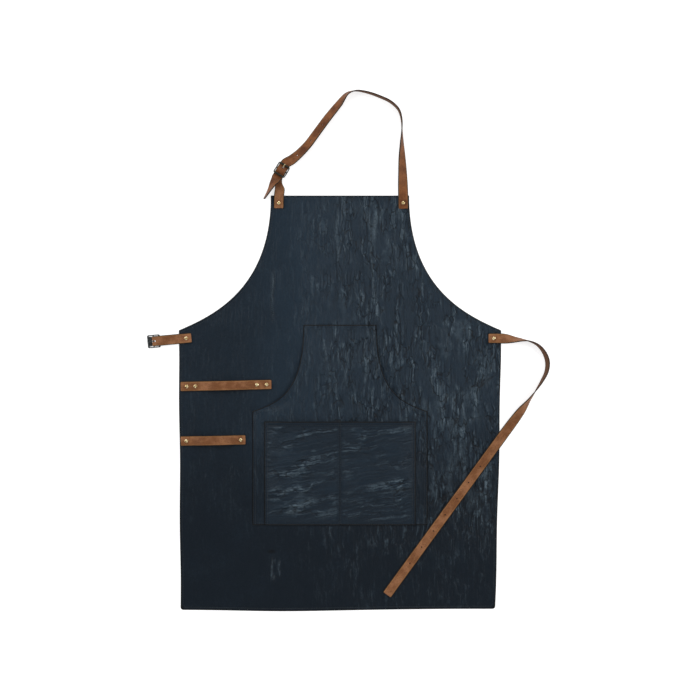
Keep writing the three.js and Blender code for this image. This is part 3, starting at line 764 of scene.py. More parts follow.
@dataclass(frozen=True)
class Creases:
    """Creases crushed into the cloth: ridges where a stretched, warped noise passes its middle value, in
    patches. They run at an angle to the x axis, with a length and a width."""

    turn: float = 90.0
    length: float = 46.0
    width: float = 13.0
    seed: int = 3
    patch: float = 85.0

    def height(self, x: np.ndarray, y: np.ndarray) -> np.ndarray:
        """Height of the creases from 0 to 1: (1 - |2n - 1|) squared, times the patches.

        Args:
            x: Places across from the centreline.
            y: Places up from the bottom edge.

        Returns:
            Heights from 0 to 1.
        """
        warp_noise, ridge_noise, patch_noise = (Noise(self.seed + i) for i in range(3))
        c, s = math.cos(math.radians(self.turn)), math.sin(math.radians(self.turn))
        along, across = x * c + y * s, y * c - x * s
        warp = warp_noise(along / 30 + 50, across / 22 + 50) - 0.5
        far = along / self.length + 0.6 * warp + 90
        n = ridge_noise.octaves(far, across / self.width + 1.5 * warp + 90, 3)
        patches = smooth((patch_noise(x / self.patch + 40, y / self.patch + 40) - 0.3) / 0.35)
        return (1 - np.abs(2 * n - 1)) ** 2.4 * patches


def distance_to(outline: np.ndarray, points: np.ndarray) -> np.ndarray:
    """Least distance from each point to a closed outline, over the feet of its perpendiculars.

    Args:
        outline: Corners of a closed outline, one row each.
        points: Points, one row each.

    Returns:
        One distance for each point.
    """
    nearest = np.full(len(points), 1e9)
    for a, b in zip(outline, np.roll(outline, -1, axis=0)):
        run = b - a
        share = np.clip((points - a) @ run / max(run @ run, 1e-9), 0, 1)
        nearest = np.minimum(nearest, np.linalg.norm(points - a - share[:, None] * run, axis=1))
    return nearest


def spaced(low: float, high: float, steps: np.ndarray, pitch: float, extra: np.ndarray) -> np.ndarray:
    """Values from low to high: fine steps in from both ends, an even pitch between, and some of its own.

    Args:
        low: First value.
        high: Last value.
        steps: Distances of the fine steps from either end, from 0 up.
        pitch: Step between them.
        extra: Values that have to be among them.

    Returns:
        The values in order.
    """
    inner_low, inner_high = low + steps[-1], high - steps[-1]
    count = max(2, round((inner_high - inner_low) / pitch))
    middle = np.linspace(inner_low, inner_high, count + 1)[1:-1]
    if len(extra):
        middle = middle[np.abs(middle[:, None] - extra[None, :]).min(axis=1) > 0.3 * pitch]
        middle = np.sort(np.concatenate([middle, extra]))
    return np.concatenate([low + steps, middle, (high - steps)[::-1]])


@dataclass
class Sheet:
    """A sewn sheet of leatherette between two side edges: what the panel and both pockets share."""

    name: str
    bottom: float
    top: float
    finish: Leatherette
    creases: Creases
    crease_depth: float = 0.45
    thickness: float = 1.0
    pitch: float = 4.2
    seam: float = 5.8  # stitch row's distance from the edge
    steps: tuple[float, ...] = (0.0, 0.5, 1.1, 1.9, 3.0, 4.4, 5.2, 5.8, 6.4, 7.3, 8.8, 11.5)

    def half(self, y: np.ndarray) -> np.ndarray:
        """Half-width at a height."""
        raise NotImplementedError

    def base(self, x: np.ndarray, y: np.ndarray) -> np.ndarray:
        """Height of the smooth upper face, before seams and creases."""
        raise NotImplementedError

    def live(self, x: np.ndarray, y: np.ndarray) -> np.ndarray:
        """How strongly the cloth is creased there, from 0 to 1."""
        return np.ones_like(x)

    def tone(self, x: np.ndarray, y: np.ndarray) -> np.ndarray:
        """How blue the cloth looks there, from 0 where it is near black to 1."""
        return np.ones_like(x)

    def pit(self, x: np.ndarray, y: np.ndarray) -> np.ndarray:
        """Distance from the nearest pit or seam that is dark like the edge."""
        return np.full_like(x, 99.0)

    def marks(self) -> tuple[tuple[float, ...], ...]:
        """Single creases and streaks drawn lighter, partly rubbed and partly painted highlight, as ends x, y,
        x, y, then width, height and lightening.
        """
        return ()

    def warp(self, points: np.ndarray) -> np.ndarray:
        """Where the cloth's points lie once it is put down."""
        return points

    def extra_rows(self) -> np.ndarray:
        """Heights that need rows of their own."""
        return np.array([])

    def extra_columns(self) -> np.ndarray:
        """Places across, from -1 to 1 between the fine side steps, that need columns of their own."""
        return np.array([])

    def stitch_rows(self) -> list[np.ndarray]:
        """Lines of stitching, each a line of points."""
        return []

    def outline(self) -> np.ndarray:
        """The closed outline, right side up first.

        Returns:
            Corners, one row each.
        """
        y = np.concatenate([np.linspace(self.bottom, self.top, 90), self.extra_rows()])
        y = np.unique(np.clip(y, self.bottom, self.top))
        right = np.stack([self.half(y), y], axis=1)
        return np.vstack([right, right[::-1] * [-1, 1]])

    def seams(self, x: np.ndarray, y: np.ndarray, edge: np.ndarray) -> np.ndarray:
        """Relief of the edge and seam: a rounded lip, a puffed border and the groove that thread pulls.

        Args:
            x: Places across from the centreline.
            y: Places up from the bottom edge.
            edge: Distances from the edge.

        Returns:
            Heights to add to the smooth face.
        """
        lip = -0.4 * (1 - smooth(edge / 1.2))
        puff = 0.22 * bump(edge, 0.5 * self.seam, 0.35 * self.seam)
        groove = -0.32 * bump(edge, self.seam, 0.75)
        return lip + puff + groove

    def relief(self, x: np.ndarray, y: np.ndarray) -> tuple[np.ndarray, np.ndarray, np.ndarray]:
        """Height of the upper face, distance from the edge and height of the creases, at given places.

        Args:
            x: Places across from the centreline.
            y: Places up from the bottom edge.

        Returns:
            The three as arrays of the same shape.
        """
        edge = distance_to(self.outline(), np.stack([x.ravel(), y.ravel()], axis=1)).reshape(x.shape)
        inner = smooth((edge - self.seam - 1) / 9)
        crest = self.creases.height(x, y)
        broad = Noise(self.creases.seed + 9)(x / 95 + 30, y / 130 + 30)
        drop = inner * (0.4 * broad + self.crease_depth * (1 - crest) * (0.25 + 0.75 * self.live(x, y)))
        # How much lighter the crests and the marks are drawn: partly rubbed, partly painted highlight.
        lightened = 0.6 * crest * inner * self.live(x, y)
        for x0, y0, x1, y1, width, height, lightening in self.marks():
            run = np.array([x1 - x0, y1 - y0])
            share = ((x - x0) * run[0] + (y - y0) * run[1]) / (run @ run)
            wander = 1.5 * np.sin(share * 9 + x0)
            off = ((x - x0) * run[1] - (y - y0) * run[0]) / np.hypot(*run) + wander
            mark = bump(off, 0, width) * smooth(share * 4) * smooth((1 - share) * 4)
            drop = drop - height * mark * inner
            lightened = np.maximum(lightened, lightening * mark * inner)
        return self.base(x, y) + self.seams(x, y, edge) - drop, edge, lightened

    def under(self, height: np.ndarray, edge: np.ndarray) -> np.ndarray:
        """Height of the lower face under an upper face."""
        return height - self.thickness

    def grid(self) -> tuple[np.ndarray, np.ndarray]:
        """Places of the vertices: straight rows, whose side steps widen where the edge runs aslant.

        Returns:
            Places across and places up, each as rows of a grid.
        """
        steps = np.array(self.steps)
        y = spaced(self.bottom, self.top, steps, self.pitch, self.extra_rows())
        half = self.half(y)
        slope = np.gradient(self.half(y + 0.4) * 0.5 + self.half(y - 0.4) * 0.5, y)
        widen = np.clip(np.hypot(1, slope), 1, 2.6)
        reach = half - steps[-1] * widen
        count = round(2 * (self.half(np.array([self.bottom + 20.0]))[0] - steps[-1]) / self.pitch)
        share = np.linspace(-1, 1, count + 1)[1:-1]
        own = self.extra_columns()
        if len(own):
            clear = np.abs(share[:, None] - own).min(axis=1) > 0.3 * 2 / count
            share = np.sort(np.concatenate([share[clear], own]))
        side = half[:, None] - steps[None, :] * widen[:, None]
        x = np.concatenate([-side, reach[:, None] * share[None, :], side[:, ::-1]], axis=1)
        return x, np.broadcast_to(y[:, None], x.shape)

    def build(self, body: Body, backing: bpy.types.Material) -> bpy.types.Object:
        """Makes the closed sheet: upper face, lower face and a rounded lip round the edge.

        Args:
            body: Body that it rides on.
            backing: Material of the lower face.

        Returns:
            The finished piece.
        """
        x, y = self.grid()
        height, edge, crest = self.relief(x, y)
        rows, columns = x.shape
        upper = np.stack([x, y, height], axis=-1)
        lower = np.stack([x, y, self.under(height, edge)], axis=-1)
        number = np.arange(rows * columns).reshape(rows, columns)
        rim = np.concatenate([number[0], number[1:, -1], number[-1, -2::-1], number[-2:0:-1, 0]])
        ring = upper.reshape(-1, 3)[rim]
        run = np.roll(ring, -1, axis=0) - np.roll(ring, 1, axis=0)
        outward = unit(np.stack([run[:, 1], -run[:, 0], np.zeros(len(run))], axis=1))
        lip = (ring + lower.reshape(-1, 3)[rim]) / 2 + 0.4 * self.thickness * outward
        points = self.warp(np.vstack([upper.reshape(-1, 3), lower.reshape(-1, 3), lip]))

        face = grid_faces(rows, columns)
        below = face[:, ::-1] + rows * columns
        middle = 2 * rows * columns + np.arange(len(rim))
        after, middle_after = np.roll(rim, -1), np.roll(middle, -1)
        walls = np.stack([rim, middle, middle_after, after], axis=1)
        low_walls = np.stack([middle, rim + rows * columns, after + rows * columns, middle_after], axis=1)
        faces = np.vstack([face, below, walls, low_walls]).tolist()
        backed = (edge.ravel()[face].mean(axis=1) > 8).astype(int).tolist()
        slots = [0] * len(face) + backed + [0] * (2 * len(rim))
        place = np.stack([np.minimum(edge, self.pit(x, y)).ravel() * MM, crest.ravel()], axis=1)
        # Crease strength, raised where the crests are drawn lighter with painted highlight, and how blue the
        # cloth is drawn.
        crease_and_tone = np.stack([np.maximum(self.live(x, y), crest).ravel(), self.tone(x, y).ravel()], axis=1)
        draft = MeshDraft()
        bare = np.zeros((len(rim), 2))
        draft.add(points, faces, np.vstack([place, place, bare]), np.vstack([crease_and_tone, crease_and_tone, bare]), slots)
        piece = draft.build(self.name + "_cloth", [self.finish.material(), backing])
        return finish_piece(piece, body.value, (self.name,))

    def sew(self, body: Body, thread: bpy.types.Material, stitch: "Stitch") -> None:
        """Adds the stitching as a piece of its own.

        Args:
            body: Body that it rides on.
            thread: Material of the thread.
            stitch: The stitch to use.
        """
        draft = MeshDraft()
        for line in self.stitch_rows():
            stitch.sew(draft, line, self)
        piece = draft.build(self.name + "_stitching", [thread])
        finish_piece(piece, body.value)


@dataclass(frozen=True)
class Stitch:
    """One stitch of lockstitch: a short thread, fattest at its middle, whose ends dive into the cloth."""

    pitch: float = 3.8
    length: float = 2.9
    radius: float = 0.36
    sides: int = 5

    def template(self) -> tuple[np.ndarray, list[list[int]]]:
        """A capsule along x: rings whose radius falls and whose height drops towards both ends.

        Returns:
            Vertices and faces.
        """
        t = np.array([-1.0, -0.7, 0.0, 0.7, 1.0])
        radius = self.radius * np.sqrt(1 - (0.93 * t) ** 4)
        angle = np.linspace(0, 2 * math.pi, self.sides, endpoint=False)
        rings = np.zeros((len(t), self.sides, 3))
        rings[:, :, 0] = t[:, None] * self.length / 2
        rings[:, :, 1] = radius[:, None] * np.cos(angle)
        rings[:, :, 2] = radius[:, None] * np.sin(angle) - 0.34 * (t**2)[:, None]
        faces = grid_faces(len(t), self.sides, wrap_columns=True).tolist()
        last = (len(t) - 1) * self.sides
        faces.append(list(range(self.sides))[::-1])
        faces.append([last + i for i in range(self.sides)])
        return rings.reshape(-1, 3), faces

    def sew(self, draft: MeshDraft, line: np.ndarray, sheet: Sheet) -> None:
        """Lays stitches along a line on a sheet, each one turned along it.

        Args:
            draft: Draft that takes the stitches.
            line: Points of the row.
            sheet: Sheet that is sewn.
        """
        length = lengths_along(line)[-1]
        count = max(1, int(length / self.pitch))
        places = (np.arange(count) + 0.5) * length / count
        middle = resample(line, places)
        ahead = unit(resample(line, places + 0.5) - resample(line, places - 0.5))
        height = sheet.relief(middle[:, 0], middle[:, 1])[0]
        shape, faces = self.template()
        x = middle[:, None, 0] + shape[None, :, 0] * ahead[:, None, 0] - shape[None, :, 1] * ahead[:, None, 1]
        y = middle[:, None, 1] + shape[None, :, 0] * ahead[:, None, 1] + shape[None, :, 1] * ahead[:, None, 0]
        z = height[:, None] + 0.26 + shape[None, :, 2]
        points = sheet.warp(np.stack([x, y, z], axis=-1).reshape(-1, 3))
        numbers = np.arange(count) * len(shape)
        every = [[i + n for i in face] for n in numbers.tolist() for face in faces]
        draft.add(points, every)


@dataclass
class Panel(Sheet):
    """The apron's body: straight sides up to the waist, armholes cut as one curve a side, and a hem."""

    width: float = 700.0
    bib: float = 300.0
    flare_slope: float = 23.4  # degrees, the armhole's slope at the waist
    flare_pull: float = 80.0  # its Bezier's handles at the waist and at the bib
    bib_pull: float = 204.0
    corner: float = 6.0
    hem: float = 8.0
    dimple: tuple[float, float] = (-150.0, 127.0)
    fold: tuple[tuple[float, float], ...] = ((281.0, 482.0), (310.0, 488.0), (340.0, 510.0))

    def half(self, y: np.ndarray) -> np.ndarray:
        """Half-width: rounded at the bottom corners, straight to the waist, then the armhole's Bezier.

        Args:
            y: Places up from the bottom edge.

        Returns:
            Half-widths.
        """
        slope, side, bib = math.radians(self.flare_slope), self.width / 2, self.bib / 2
        flare = [side - self.flare_pull * math.cos(slope), WAIST_Y + self.flare_pull * math.sin(slope)]
        knots = np.array([[side, WAIST_Y], flare, [bib, self.top - self.bib_pull], [bib, self.top]])
        armhole = bezier(knots, np.linspace(0, 1, 400))
        low = np.clip(self.corner - y, 0, self.corner)
        rounded = self.corner - np.sqrt(self.corner**2 - low**2)
        return np.interp(y, armhole[:, 1], armhole[:, 0]) - rounded

    def extra_rows(self) -> np.ndarray:
        """Rows round the waist corners."""
        return WAIST_Y + np.array([-3.0, 0.0, 0.7, 1.8, 3.2, 5.0, 7.4])

    def base(self, x: np.ndarray, y: np.ndarray) -> np.ndarray:
        """Flat, with one dimple low on the left that puckers the cloth below it.

        Args:
            x: Places across from the centreline.
            y: Places up from the bottom edge.

        Returns:
            Heights of the smooth face.
        """
        dx, dy = x - self.dimple[0], y - self.dimple[1]
        pit = 0.55 * np.exp(-((dx / 15) ** 2) - (dy / 8) ** 2)
        pucker = 0.28 * np.exp(-(((dx - 6) / 5) ** 2) - ((dy + 24) / 22) ** 2)
        return np.full_like(x, PANEL_TOP - 0.02) - pit + pucker

    def live(self, x: np.ndarray, y: np.ndarray) -> np.ndarray:
        """Most creased right of the middle and above the pocket's foot, and hardly at all on the left."""
        return (0.08 + 0.92 * smooth((x + 130) / 190)) * (0.2 + 0.8 * smooth((y - 90) / 190))

    def pit(self, x: np.ndarray, y: np.ndarray) -> np.ndarray:
        """The dimple is drawn dark for about 8 mm, and so is the slanting fold at the right edge for 3 mm:
        painted shade in these hollows.

        Args:
            x: Places across from the centreline.
            y: Places up from the bottom edge.

        Returns:
            Distances from the nearest dark mark.
        """
        dimple = 0.9 + 0.22 * np.hypot(0.6 * (x - self.dimple[0]), 1.5 * (y - self.dimple[1]))
        fold = distance_to(np.array(self.fold), np.stack([x.ravel(), y.ravel()], axis=1)).reshape(x.shape)
        return np.minimum(dimple, 1.6 + 0.45 * fold)

    def tone(self, x: np.ndarray, y: np.ndarray) -> np.ndarray:
        """Bluest on the bib and the right, and darker down the left side and towards the hem."""
        return smooth((y - 130) / 380) * (0.35 + 0.65 * smooth((x + 260) / 220))

    def marks(self) -> tuple[tuple[float, ...], ...]:
        """A raised line drawn lighter by the left armhole, two on the bib, a slanting fold at the right edge,
        and lighter
            puckers below the dimple and beside it; the lighter colour is partly rubbing and partly painted
            highlight.

        Returns:
            One row for each mark.
        """
        return (
            (-147, 612, -145, 752, 2.6, 0.1, 0.9),
            (-4, 735, -8, 868, 5, 0.1, 0.7),
            (74, 800, 78, 880, 6, 0.1, 0.9),
            (84, 600, 66, 800, 5, 0.15, 0.6),
            (281, 482, 343, 511, 3.2, -0.45, 0.0),
            (285, 478, 345, 506, 3.0, 0.15, 0.5),
            (322, 262, 318, 352, 5, 0.15, 0.9),
            (-147, 56, -150, 122, 3.6, 0.2, 0.8),
            (-135, 70, -133, 112, 3.0, 0.2, 0.5),
            (24, 60, 26, 112, 3.5, 0.15, 0.5),
        )

    def under(self, height: np.ndarray, edge: np.ndarray) -> np.ndarray:
        """The turned hem reaches down to z = 0 and the cloth inside it keeps its own thickness."""
        hem = 1 - smooth((edge - self.hem + 0.5) / 1.0)
        return (1 - hem) * np.maximum(height - self.thickness, 0.05)

    def warp(self, points: np.ndarray) -> np.ndarray:
        """The sides draw in towards the hem, the right one more, and the hem hangs a little uneven.

        Args:
            points: Points of the cloth as cut.

        Returns:
            The points as it lies.
        """
        x, y, z = points.T
        fall = np.clip(1 - y / 600, 0, 1)
        right = 13.0 * fall**1.3 * np.clip(x / 350, 0, 1)
        left = 3.7 * fall * np.clip(-x / 350, 0, 1)
        hang = 2.0 * smooth(x / 300) - 3.2 * bump(x, -122, 140)
        low = np.clip(1 - y / 200, 0, 1) ** 2
        wave = 0.7 * np.sin(y / 41) * smooth((np.abs(x) - 300) / 50) * smooth((600 - y) / 80)
        return np.stack([x - right + left + wave, y + hang * low, z], axis=1)

    def stitch_rows(self) -> list[np.ndarray]:
        """One row all round, inside the edge by the seam's distance.

        Returns:
            Points of each row.
        """
        outline = self.outline()
        closed = np.vstack([outline, outline[:1]])
        line = resample(closed, np.arange(0, lengths_along(closed)[-1], 2.0))
        run = np.roll(line, -1, axis=0) - np.roll(line, 1, axis=0)
        inward = unit(np.stack([-run[:, 1], run[:, 0]], axis=1))
        moved = line + self.seam * inward
        kept = moved[distance_to(outline, moved) > self.seam - 0.05]
        return [np.vstack([kept, kept[:1]])]


@dataclass
class BibPocket(Sheet):
    """The kangaroo pocket: sewn at its top, foot and straight sides, open along its two curved sides."""

    half_width: float = 190.0
    top_half: float = 79.0
    mouth: float = 431.0
    mouth_slope: float = 19.7  # degrees, the mouth's slope at its corner
    mouth_pull: float = 56.0  # its Bezier's handles at its corner and at the top
    top_pull: float = 152.0
    rise: float = 5.8

    def half(self, y: np.ndarray) -> np.ndarray:
        """Half-width: straight to the mouth, then the mouth's Bezier.

        Args:
            y: Places up from the bottom edge.

        Returns:
            Half-widths.
        """
        slope, side, top = math.radians(self.mouth_slope), self.half_width, self.top_half
        pull = [side - self.mouth_pull * math.cos(slope), self.mouth + self.mouth_pull * math.sin(slope)]
        knots = np.array([[side, self.mouth], pull, [top, self.top - self.top_pull], [top, self.top]])
        curve = bezier(knots, np.linspace(0, 1, 400))
        return np.interp(y, curve[:, 1], curve[:, 0])

    def extra_rows(self) -> np.ndarray:
        """Rows round the mouth's corner."""
        return self.mouth + np.array([-2.5, 0.0, 0.7, 1.8, 3.2, 5.0, 7.4])

    def base(self, x: np.ndarray, y: np.ndarray) -> np.ndarray:
        """Stands off the panel in its middle and along its mouths, and lies on it along its sewn edges.

        Args:
            x: Places across from the centreline.
            y: Places up from the bottom edge.

        Returns:
            Heights of the smooth face.
        """
        half = self.half(y)
        ends = smooth(np.minimum(y - self.bottom, self.top - y) / 95)
        side = smooth((half - np.abs(x)) / 60)
        mouth = smooth((y - self.mouth) / 45)
        return ON_PANEL - 0.25 + self.thickness + self.rise * ends * (side * (1 - mouth) + mouth)

    def live(self, x: np.ndarray, y: np.ndarray) -> np.ndarray:
        """Creased all over but along its left mouth and its foot."""
        return (0.35 + 0.65 * smooth((x + 90) / 130)) * (0.3 + 0.7 * smooth((y - 250) / 150))

    def pit(self, x: np.ndarray, y: np.ndarray) -> np.ndarray:
        """A line pressed across where the cloth was folded is drawn a little dark: painted shade in the
        pressed line.
        """
        return 2.0 + 0.35 * np.abs(y - 507) + 0.2 * np.maximum(np.abs(x) - 88, 0)

    def tone(self, x: np.ndarray, y: np.ndarray) -> np.ndarray:
        """Bluest at the top, near black down its sides."""
        return 0.22 + 0.75 * smooth((y - 290) / 170)

    def marks(self) -> tuple[tuple[float, ...], ...]:
        """A line pressed across where the pocket's cloth was folded, and two lines drawn lighter, partly
        rubbed and partly painted highlight.

        Returns:
            One row for each mark.
        """
        return (
            (-95, 507, 100, 505, 2.6, -0.25, 0.0),
            (-30, 530, -34, 592, 4, 0.15, 0.8),
            (52, 480, 60, 560, 4, 0.15, 0.7),
        )

    def stitch_rows(self) -> list[np.ndarray]:
        """Two rows down each straight side, one along the foot and the top, and one along each mouth.

        Returns:
            Points of each row.
        """
        rows = []
        for inset in (EDGE_ROW, self.seam):
            for x in (inset - self.half_width, self.half_width - inset):
                rows.append(np.array([[x, self.bottom + EDGE_ROW], [x, self.mouth]]))
        for half, y in ((self.half_width, self.bottom + 2.2), (self.top_half, self.top - 2.2)):
            rows.append(np.array([[-half + 2, y], [half - 2, y]]))
        y = np.linspace(self.mouth + 1, self.top - 2, 60)
        curve = np.stack([self.half(y), y], axis=1)
        run = np.gradient(curve, axis=0)
        inner = curve + self.seam * unit(np.stack([-run[:, 1], run[:, 0]], axis=1))
        inner = inner[inner[:, 1] < self.top - 3]
        return rows + [inner, inner * [-1, 1]]


@dataclass
class LowerPocket(Sheet):
    """The pocket on the bib pocket: open along its top and parted by a seam down its middle."""

    behind: BibPocket | None = None
    half_width: float = 164.0
    rise: float = 5.6
    seam_half: float = 1.7  # the middle seam's two rows lie this far from its line
    lightened: tuple[tuple[float, ...], ...] = (  # middles and radii of the patches that are drawn more creased and lighter
        (-105, 380, 42, 30),
        (-95, 235, 62, 45),
        (-105, 310, 55, 60),
        (125, 270, 38, 48),
        (40, 385, 26, 22),
    )

    def half(self, y: np.ndarray) -> np.ndarray:
        """Half-width, the same at every height."""
        return np.full_like(y, self.half_width)

    def extra_columns(self) -> np.ndarray:
        """Columns for the middle seam."""
        reach = self.half_width - self.steps[-1]
        return np.array([-4.5, -2.6, -1.7, -0.8, 0.0, 0.8, 1.7, 2.6, 4.5]) / reach

    def base(self, x: np.ndarray, y: np.ndarray) -> np.ndarray:
        """Stands off the bib pocket between its sides, foot and middle seam.

        Args:
            x: Places across from the centreline.
            y: Places up from the bottom edge.

        Returns:
            Heights of the smooth face.
        """
        seam = smooth(np.minimum(np.abs(x), self.half_width - np.abs(x)) / 45)
        foot = smooth((y - self.bottom) / 90)
        return self.behind.base(x, y) + 0.2 + self.thickness + self.rise * seam * foot

    def seams(self, x: np.ndarray, y: np.ndarray, edge: np.ndarray) -> np.ndarray:
        """The edge's relief, a thicker turned top, and the middle seam's two grooves with a ridge between.

        Args:
            x: Places across from the centreline.
            y: Places up from the bottom edge.
            edge: Distances from the edge.

        Returns:
            Heights to add to the smooth face.
        """
        middle = -0.34 * (bump(np.abs(x), self.seam_half, 0.6)) + 0.1 * bump(x, 0, 0.9)
        turned_top = 0.35 * smooth((y - self.top + 9) / 1.2)
        return super().seams(x, y, edge) + middle + turned_top

    def live(self, x: np.ndarray, y: np.ndarray) -> np.ndarray:
        """Creased over the middle of each half, most over the patches that are drawn lighter.

        Args:
            x: Places across from the centreline.
            y: Places up from the bottom edge.

        Returns:
            Shares from 0 to 1.
        """
        lightened = np.full_like(x, 0.38)
        for cx, cy, rx, ry in self.lightened:
            lightened = np.maximum(lightened, np.exp(-(((x - cx) / rx) ** 2) - ((y - cy) / ry) ** 2))
        sides = smooth((self.half_width - np.abs(x)) / 16) * smooth(np.abs(x) / 12)
        return lightened * sides * smooth((y - self.bottom) / 20) * smooth((self.top - 8 - y) / 8)

    def tone(self, x: np.ndarray, y: np.ndarray) -> np.ndarray:
        """Bluer over the patches that are drawn lighter."""
        return 0.35 + 0.6 * self.live(x, y)

    def pit(self, x: np.ndarray, y: np.ndarray) -> np.ndarray:
        """The middle seam is a dark line."""
        return 1.7 + 1.3 * np.abs(x)

    def stitch_rows(self) -> list[np.ndarray]:
        """Rows down both sides and along the foot, two down the middle, and one under the turned top.

        Returns:
            Points of each row.
        """
        w, low, high = self.half_width, self.bottom + 2.2, self.top - 1.5
        upright = [self.seam - w, EDGE_ROW - w, -self.seam_half, self.seam_half, w - EDGE_ROW, w - self.seam]
        rows = [np.array([[x, low], [x, high]]) for x in upright]
        level = [low, self.top - 8.3]
        return rows + [np.array([[-w + 2, y], [w - 2, y]]) for y in level]


# ---- Straps ------------------------------------------------------------------------------------------


@dataclass(frozen=True)
class StrapSection:
    """A strap's cross-section and ends: a flat band with rounded edges and a crease pressed along each."""

    width: float = 22.0
    thickness: float = 2.4
    rounding: float = 0.8
    crease_at: float = 9.0
    crease_depth: float = 0.2
    corner: float = 3.0

    def profile(self) -> tuple[np.ndarray, np.ndarray]:
        """Places round the section as (across, up), with up from -1 to 1, and which side each is on.

        Returns:
            The places, and 1 on the grain side, 0.5 on the edge and 0 on the flesh side.
        """
        flat = self.width / 2 - self.rounding
        c = self.crease_at
        one_side = np.array([0.0, 3.0, 6.0, 8.0, c - 0.5, c - 0.25, c, c + 0.25, c + 0.5, flat])
        top = np.concatenate([-one_side[:0:-1], one_side])
        top_up = 1 - self.crease_depth * bump(np.abs(top), c, 0.3) - 0.05 * smooth((np.abs(top) - 8) / 3)
        angle = np.radians([60, 25, 0, -25, -60])
        edge_w = flat + self.rounding * np.cos(angle)
        edge_up = np.sin(angle)
        bottom = np.array([flat, 5.0, 0.0, -5.0, -flat])
        w = np.concatenate([top, edge_w, bottom, -edge_w[::-1]])
        up = np.concatenate([top_up, edge_up, -np.ones(5), edge_up[::-1]])
        edge = [0.6, 0.5, 0.5, 0.5, 0.4]
        side = np.concatenate([np.ones(len(top)), edge, np.zeros(5), edge[::-1]])
        return np.stack([w, up], axis=1), side

    def stations(self, length: float, pitch: float) -> np.ndarray:
        """Distances along the strap, closer together round its cut corners.

        Args:
            length: Length of the strap.
            pitch: Step between its corners.

        Returns:
            The distances in order.
        """
        ends = self.corner * (1 - np.cos(np.linspace(0, math.pi / 2, 7)))
        middle = np.linspace(self.corner, length - self.corner, max(3, round(length / pitch)))[1:-1]
        return np.concatenate([ends, middle, (length - ends)[::-1]])

    def taper(self, places: np.ndarray, length: float) -> np.ndarray:
        """Share of the full width there, for quarter-round corners.

        Args:
            places: Distances along the strap.
            length: Its length.

        Returns:
            Shares from 0 to 1.
        """
        r = self.corner
        d = np.minimum(np.minimum(places, length - places), r)
        return 1 - (r - np.sqrt(r * r - (r - d) ** 2)) / (self.width / 2)

    def sweep(self, places: np.ndarray, centre: np.ndarray, side: np.ndarray, thick: np.ndarray) -> MeshDraft:
        """Carries the section along a strap.

        Each vertex is the strap's middle, plus the side direction times its place across, plus the face
        direction times its place up, in half thicknesses.

        Args:
            places: Distances along the strap.
            centre: Middle of the strap at each.
            side: Direction of its width at each.
            thick: Thickness at each.

        Returns:
            A draft with the one closed surface.
        """
        profile, kind = self.profile()
        length = places[-1]
        tangent = unit(np.gradient(centre, places, axis=0))
        face = unit(np.cross(tangent, side))
        end = np.minimum(places, length - places)
        soft = 0.55 + 0.45 * np.sqrt(smooth(end / 0.7))
        across = profile[None, :, 0] * self.taper(places, length)[:, None]
        up = profile[None, :, 1] * (thick * soft / 2)[:, None]
        rings = centre[:, None] + across[..., None] * side[:, None] + up[..., None] * face[:, None]
        points, faces = capped_tube(rings)
        along = np.broadcast_to(places[:, None], across.shape)
        place = np.stack([along, across], axis=-1).reshape(-1, 2) * MM
        kind = np.broadcast_to(kind, across.shape)
        kinds = np.stack([kind, np.zeros(across.shape)], axis=-1).reshape(-1, 2)
        ends = np.array([[0.0, 0.0], [length * MM, 0.0]])
        draft = MeshDraft()
        draft.add(points, faces, np.vstack([place, ends]), np.vstack([kinds, [[0.5, 0], [0.5, 0]]]))
        return draft


SECTION = StrapSection()


@dataclass(frozen=True)
class Punch:
    """A hole punched through a strap: its middle, the directions along, across and through it, and its
    half-sizes along and across. More than eight sides make it round, four make it square."""

    centre: np.ndarray
    along: np.ndarray
    across: np.ndarray
    through: np.ndarray
    half_along: float
    half_across: float
    sides: int = 20
    depth: float = 6.0

    def tool(self) -> tuple[np.ndarray, list[list[int]]]:
        """The punch as a closed prism.

        Returns:
            Vertices and faces.
        """
        turn = math.pi / 4 if self.sides == 4 else 0.0
        grow = math.sqrt(2) if self.sides == 4 else 1.0
        angle = np.linspace(0, 2 * math.pi, self.sides, endpoint=False) + turn
        ring = (
            self.centre
            + grow * self.half_along * np.cos(angle)[:, None] * self.along
            + grow * self.half_across * np.sin(angle)[:, None] * self.across
        )
        return capped_tube(np.stack([ring - self.depth * self.through, ring + self.depth * self.through]))


def punch_out(piece: bpy.types.Object, punches: list[Punch], leather: bpy.types.Material) -> None:
    """Cuts punched holes out of a piece and keeps its maps.

    Args:
        piece: Piece to cut.
        punches: The holes.
        leather: Material of the cut faces.
    """
    draft = MeshDraft()
    for punch in punches:
        draft.add(*punch.tool())
    tool = draft.build(piece.name + "_punches", [leather])
    cut = piece.modifiers.new("punches", "BOOLEAN")
    cut.operation, cut.solver, cut.object = "DIFFERENCE", "EXACT", tool
    graph = bpy.context.evaluated_depsgraph_get()
    done = bpy.data.meshes.new_from_object(piece.evaluated_get(graph))
    piece.modifiers.clear()
    piece.data = done
    bpy.data.objects.remove(tool)


